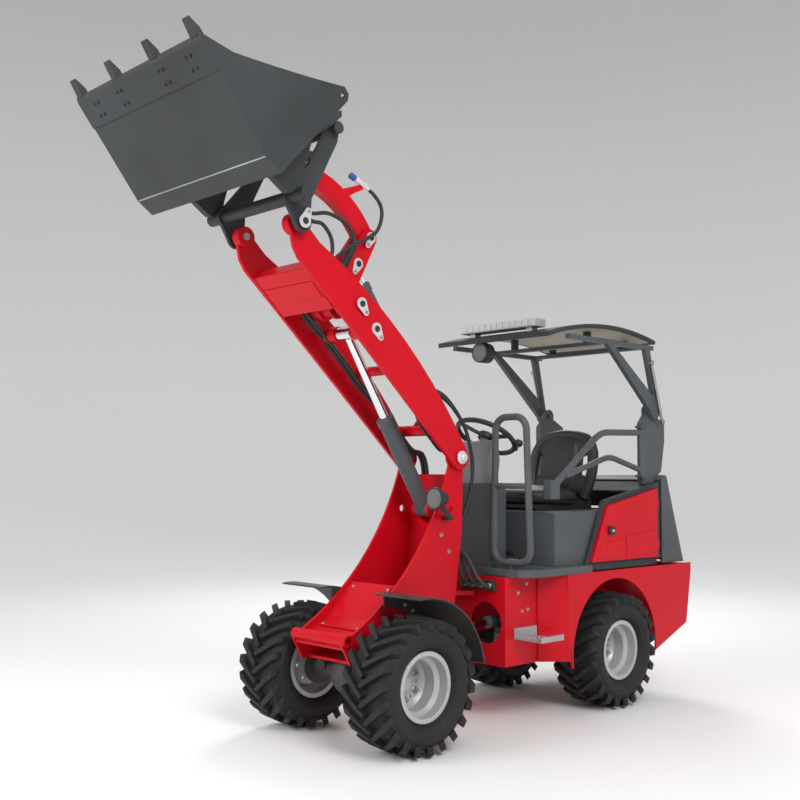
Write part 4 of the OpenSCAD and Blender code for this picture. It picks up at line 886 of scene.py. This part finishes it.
# Cockpit: a dark instrument glass, a red trim on the column and a turning knob on the wheel.
# Two moulded pedals stand on steel stems that come through the floor.
# The control lever has a folded rubber boot.
panel = plain("panel_glass", (0.012, 0.014, 0.018), 0.12, Coat_Weight=1.0)


def slab(name, corners, normal, t, material, body, bevel=0.002):
    n = Vector(normal).normalized()
    middle = sum(corners, Vector()) / len(corners)
    points = corners + [c + n * (t - bevel) for c in corners]
    points += [c + (middle - c).normalized() * bevel * 1.4 + n * t for c in corners]
    faces = []
    tube(faces, 0, 3, len(corners))
    piece(name, points, faces, material, body, 25)


slab("column_trim",
     [at(x, 0.1401, z) for x, z in ((-0.118, 1.385), (-0.124, 1.425), (-0.148, 1.425),
                                    (-0.145, 1.385))],
     (0, 1, 0), 0.004, red_coat, "rear_frame")
slab("instrument_glass",
     [at(x, y, z) for x, y, z in ((-0.1622, -0.11, 1.528), (-0.1622, 0.11, 1.528),
                                  (-0.1778, 0.11, 1.432), (-0.1778, -0.11, 1.432))],
     (-0.987, 0, 0.160), 0.003, panel, "rear_frame")
PEDALS = (0.115, -0.115)
turned_piece("pedal_stems", [(at(-0.215, y, 0.8282), (0, 0, 1)) for y in PEDALS],
             [(0.013, 0.0), (0.011, 0.055), (0.010, 0.075)], turned, "rear_frame", 16)
for k, y in enumerate(PEDALS):
    c, d, e = at(-0.222, y, 0.905), Vector((0.06, 0, 0.028)), Vector((0, 0.042, 0))
    slab("pedal_%d" % (k + 1), [c - d - e, c + d - e, c + d + e, c - d + e], (-0.42, 0, 0.9),
         0.012, moulded, "rear_frame", 0.004)
turned_piece("wheel_knob", [(at(-0.368, 0.10, 1.482), (-0.53, 0, 0.848))],
             [(0.010, 0.0), (0.010, 0.030), (0.022, 0.036), (0.027, 0.050), (0.022, 0.064),
              (0.0005, 0.070)],
             moulded, "rear_frame")
turned_piece("lever_boot", [(at(-0.485, -0.302, 1.2002), (0, 0, 1))],
             [(0.034, 0.0), (0.034, 0.010), (0.026, 0.016), (0.029, 0.024), (0.021, 0.031),
              (0.024, 0.039), (0.016, 0.047), (0.018, 0.054), (0.0105, 0.062)],
             hose_rubber, "rear_frame")

# Boom's cross box: a strip welded across its lower face, in the boom's red.
# Weld beads tie the box to the boom's plates and run along its two edges.
BOX_NEAR, BOX_FAR, BOX_FACE, PLATE = 1.1330, 1.3830, -0.098, 0.205
BOX_LONG, STRIP_HALF = BOX_FAR - BOX_NEAR, 0.19
down_boom = on_boom(0, -1, 0) - on_boom(0, 0, 0)
slab("box_strip",
     [on_boom(BOX_NEAR + BOX_LONG * part, BOX_FACE - 0.0002, y)
      for part, y in ((0.3, -STRIP_HALF), (0.7, -STRIP_HALF), (0.7, STRIP_HALF), (0.3, STRIP_HALF))],
     down_boom, 0.004, red_coat, "boom", 0.003)
SIDE_RUNS, END_RUNS, END_HALF = 60, 90, PLATE - 0.006
points, faces = [], []
for y in (-PLATE + 0.003, PLATE - 0.003):
    line = [on_boom(BOX_NEAR + BOX_LONG * k / SIDE_RUNS, BOX_FACE - 0.0005, y)
            for k in range(SIDE_RUNS + 1)]
    sweep(points, faces, line, [0.0048 if k % 2 else 0.0042 for k in range(len(line))], 8)
for s in (BOX_NEAR, BOX_FAR):
    line = [on_boom(s, BOX_FACE + 0.004, END_HALF * (2 * k / END_RUNS - 1))
            for k in range(END_RUNS + 1)]
    sweep(points, faces, line, [0.0034 if k % 2 else 0.0030 for k in range(len(line))], 8)
piece("box_welds", points, faces, red_coat, "boom")

# Cover locks and pressings: a square black plastic lock with a bright key barrel in each cover.
# Two shallow fields are pressed into the red sheet behind it.
COVER_FACE, LOCK_FACE, KEY_FACE = 0.4775, 0.4875, 0.4915
FIELDS = {"fore": ((-0.650, 0.860), (-0.690, 0.950), (-0.905, 0.962), (-0.905, 0.860)),
          "aft": ((-0.930, 0.860), (-0.930, 0.985), (-1.225, 1.002), (-1.225, 0.860))}
for side, which in zip(SIDES, ("left", "right")):
    cover, way = "side_cover_" + which, (0, side, 0)
    turned_piece("cover_lock_" + which, [(at(-0.775, side * LOCK_FACE, 1.015), way)],
                 [(0.036, -0.007), (0.036, 0.004), (0.031, 0.007), (0.016, 0.007), (0.015, 0.004),
                  (0.0005, 0.004)],
                 moulded, cover, 4, radians(45), 25)
    turned_piece("cover_key_" + which, [(at(-0.775, side * KEY_FACE, 1.015), way)],
                 [(0.008, 0.0), (0.008, 0.007), (0.004, 0.008), (0.003, 0.014), (0.0005, 0.0145)],
                 bright, cover, 16, smooth=25)
    for field, corners in FIELDS.items():
        slab("cover_field_%s_%s" % (field, which),
             [at(x, side * COVER_FACE, z) for x, z in corners],
             way, 0.004, red_coat, cover, 0.0035)
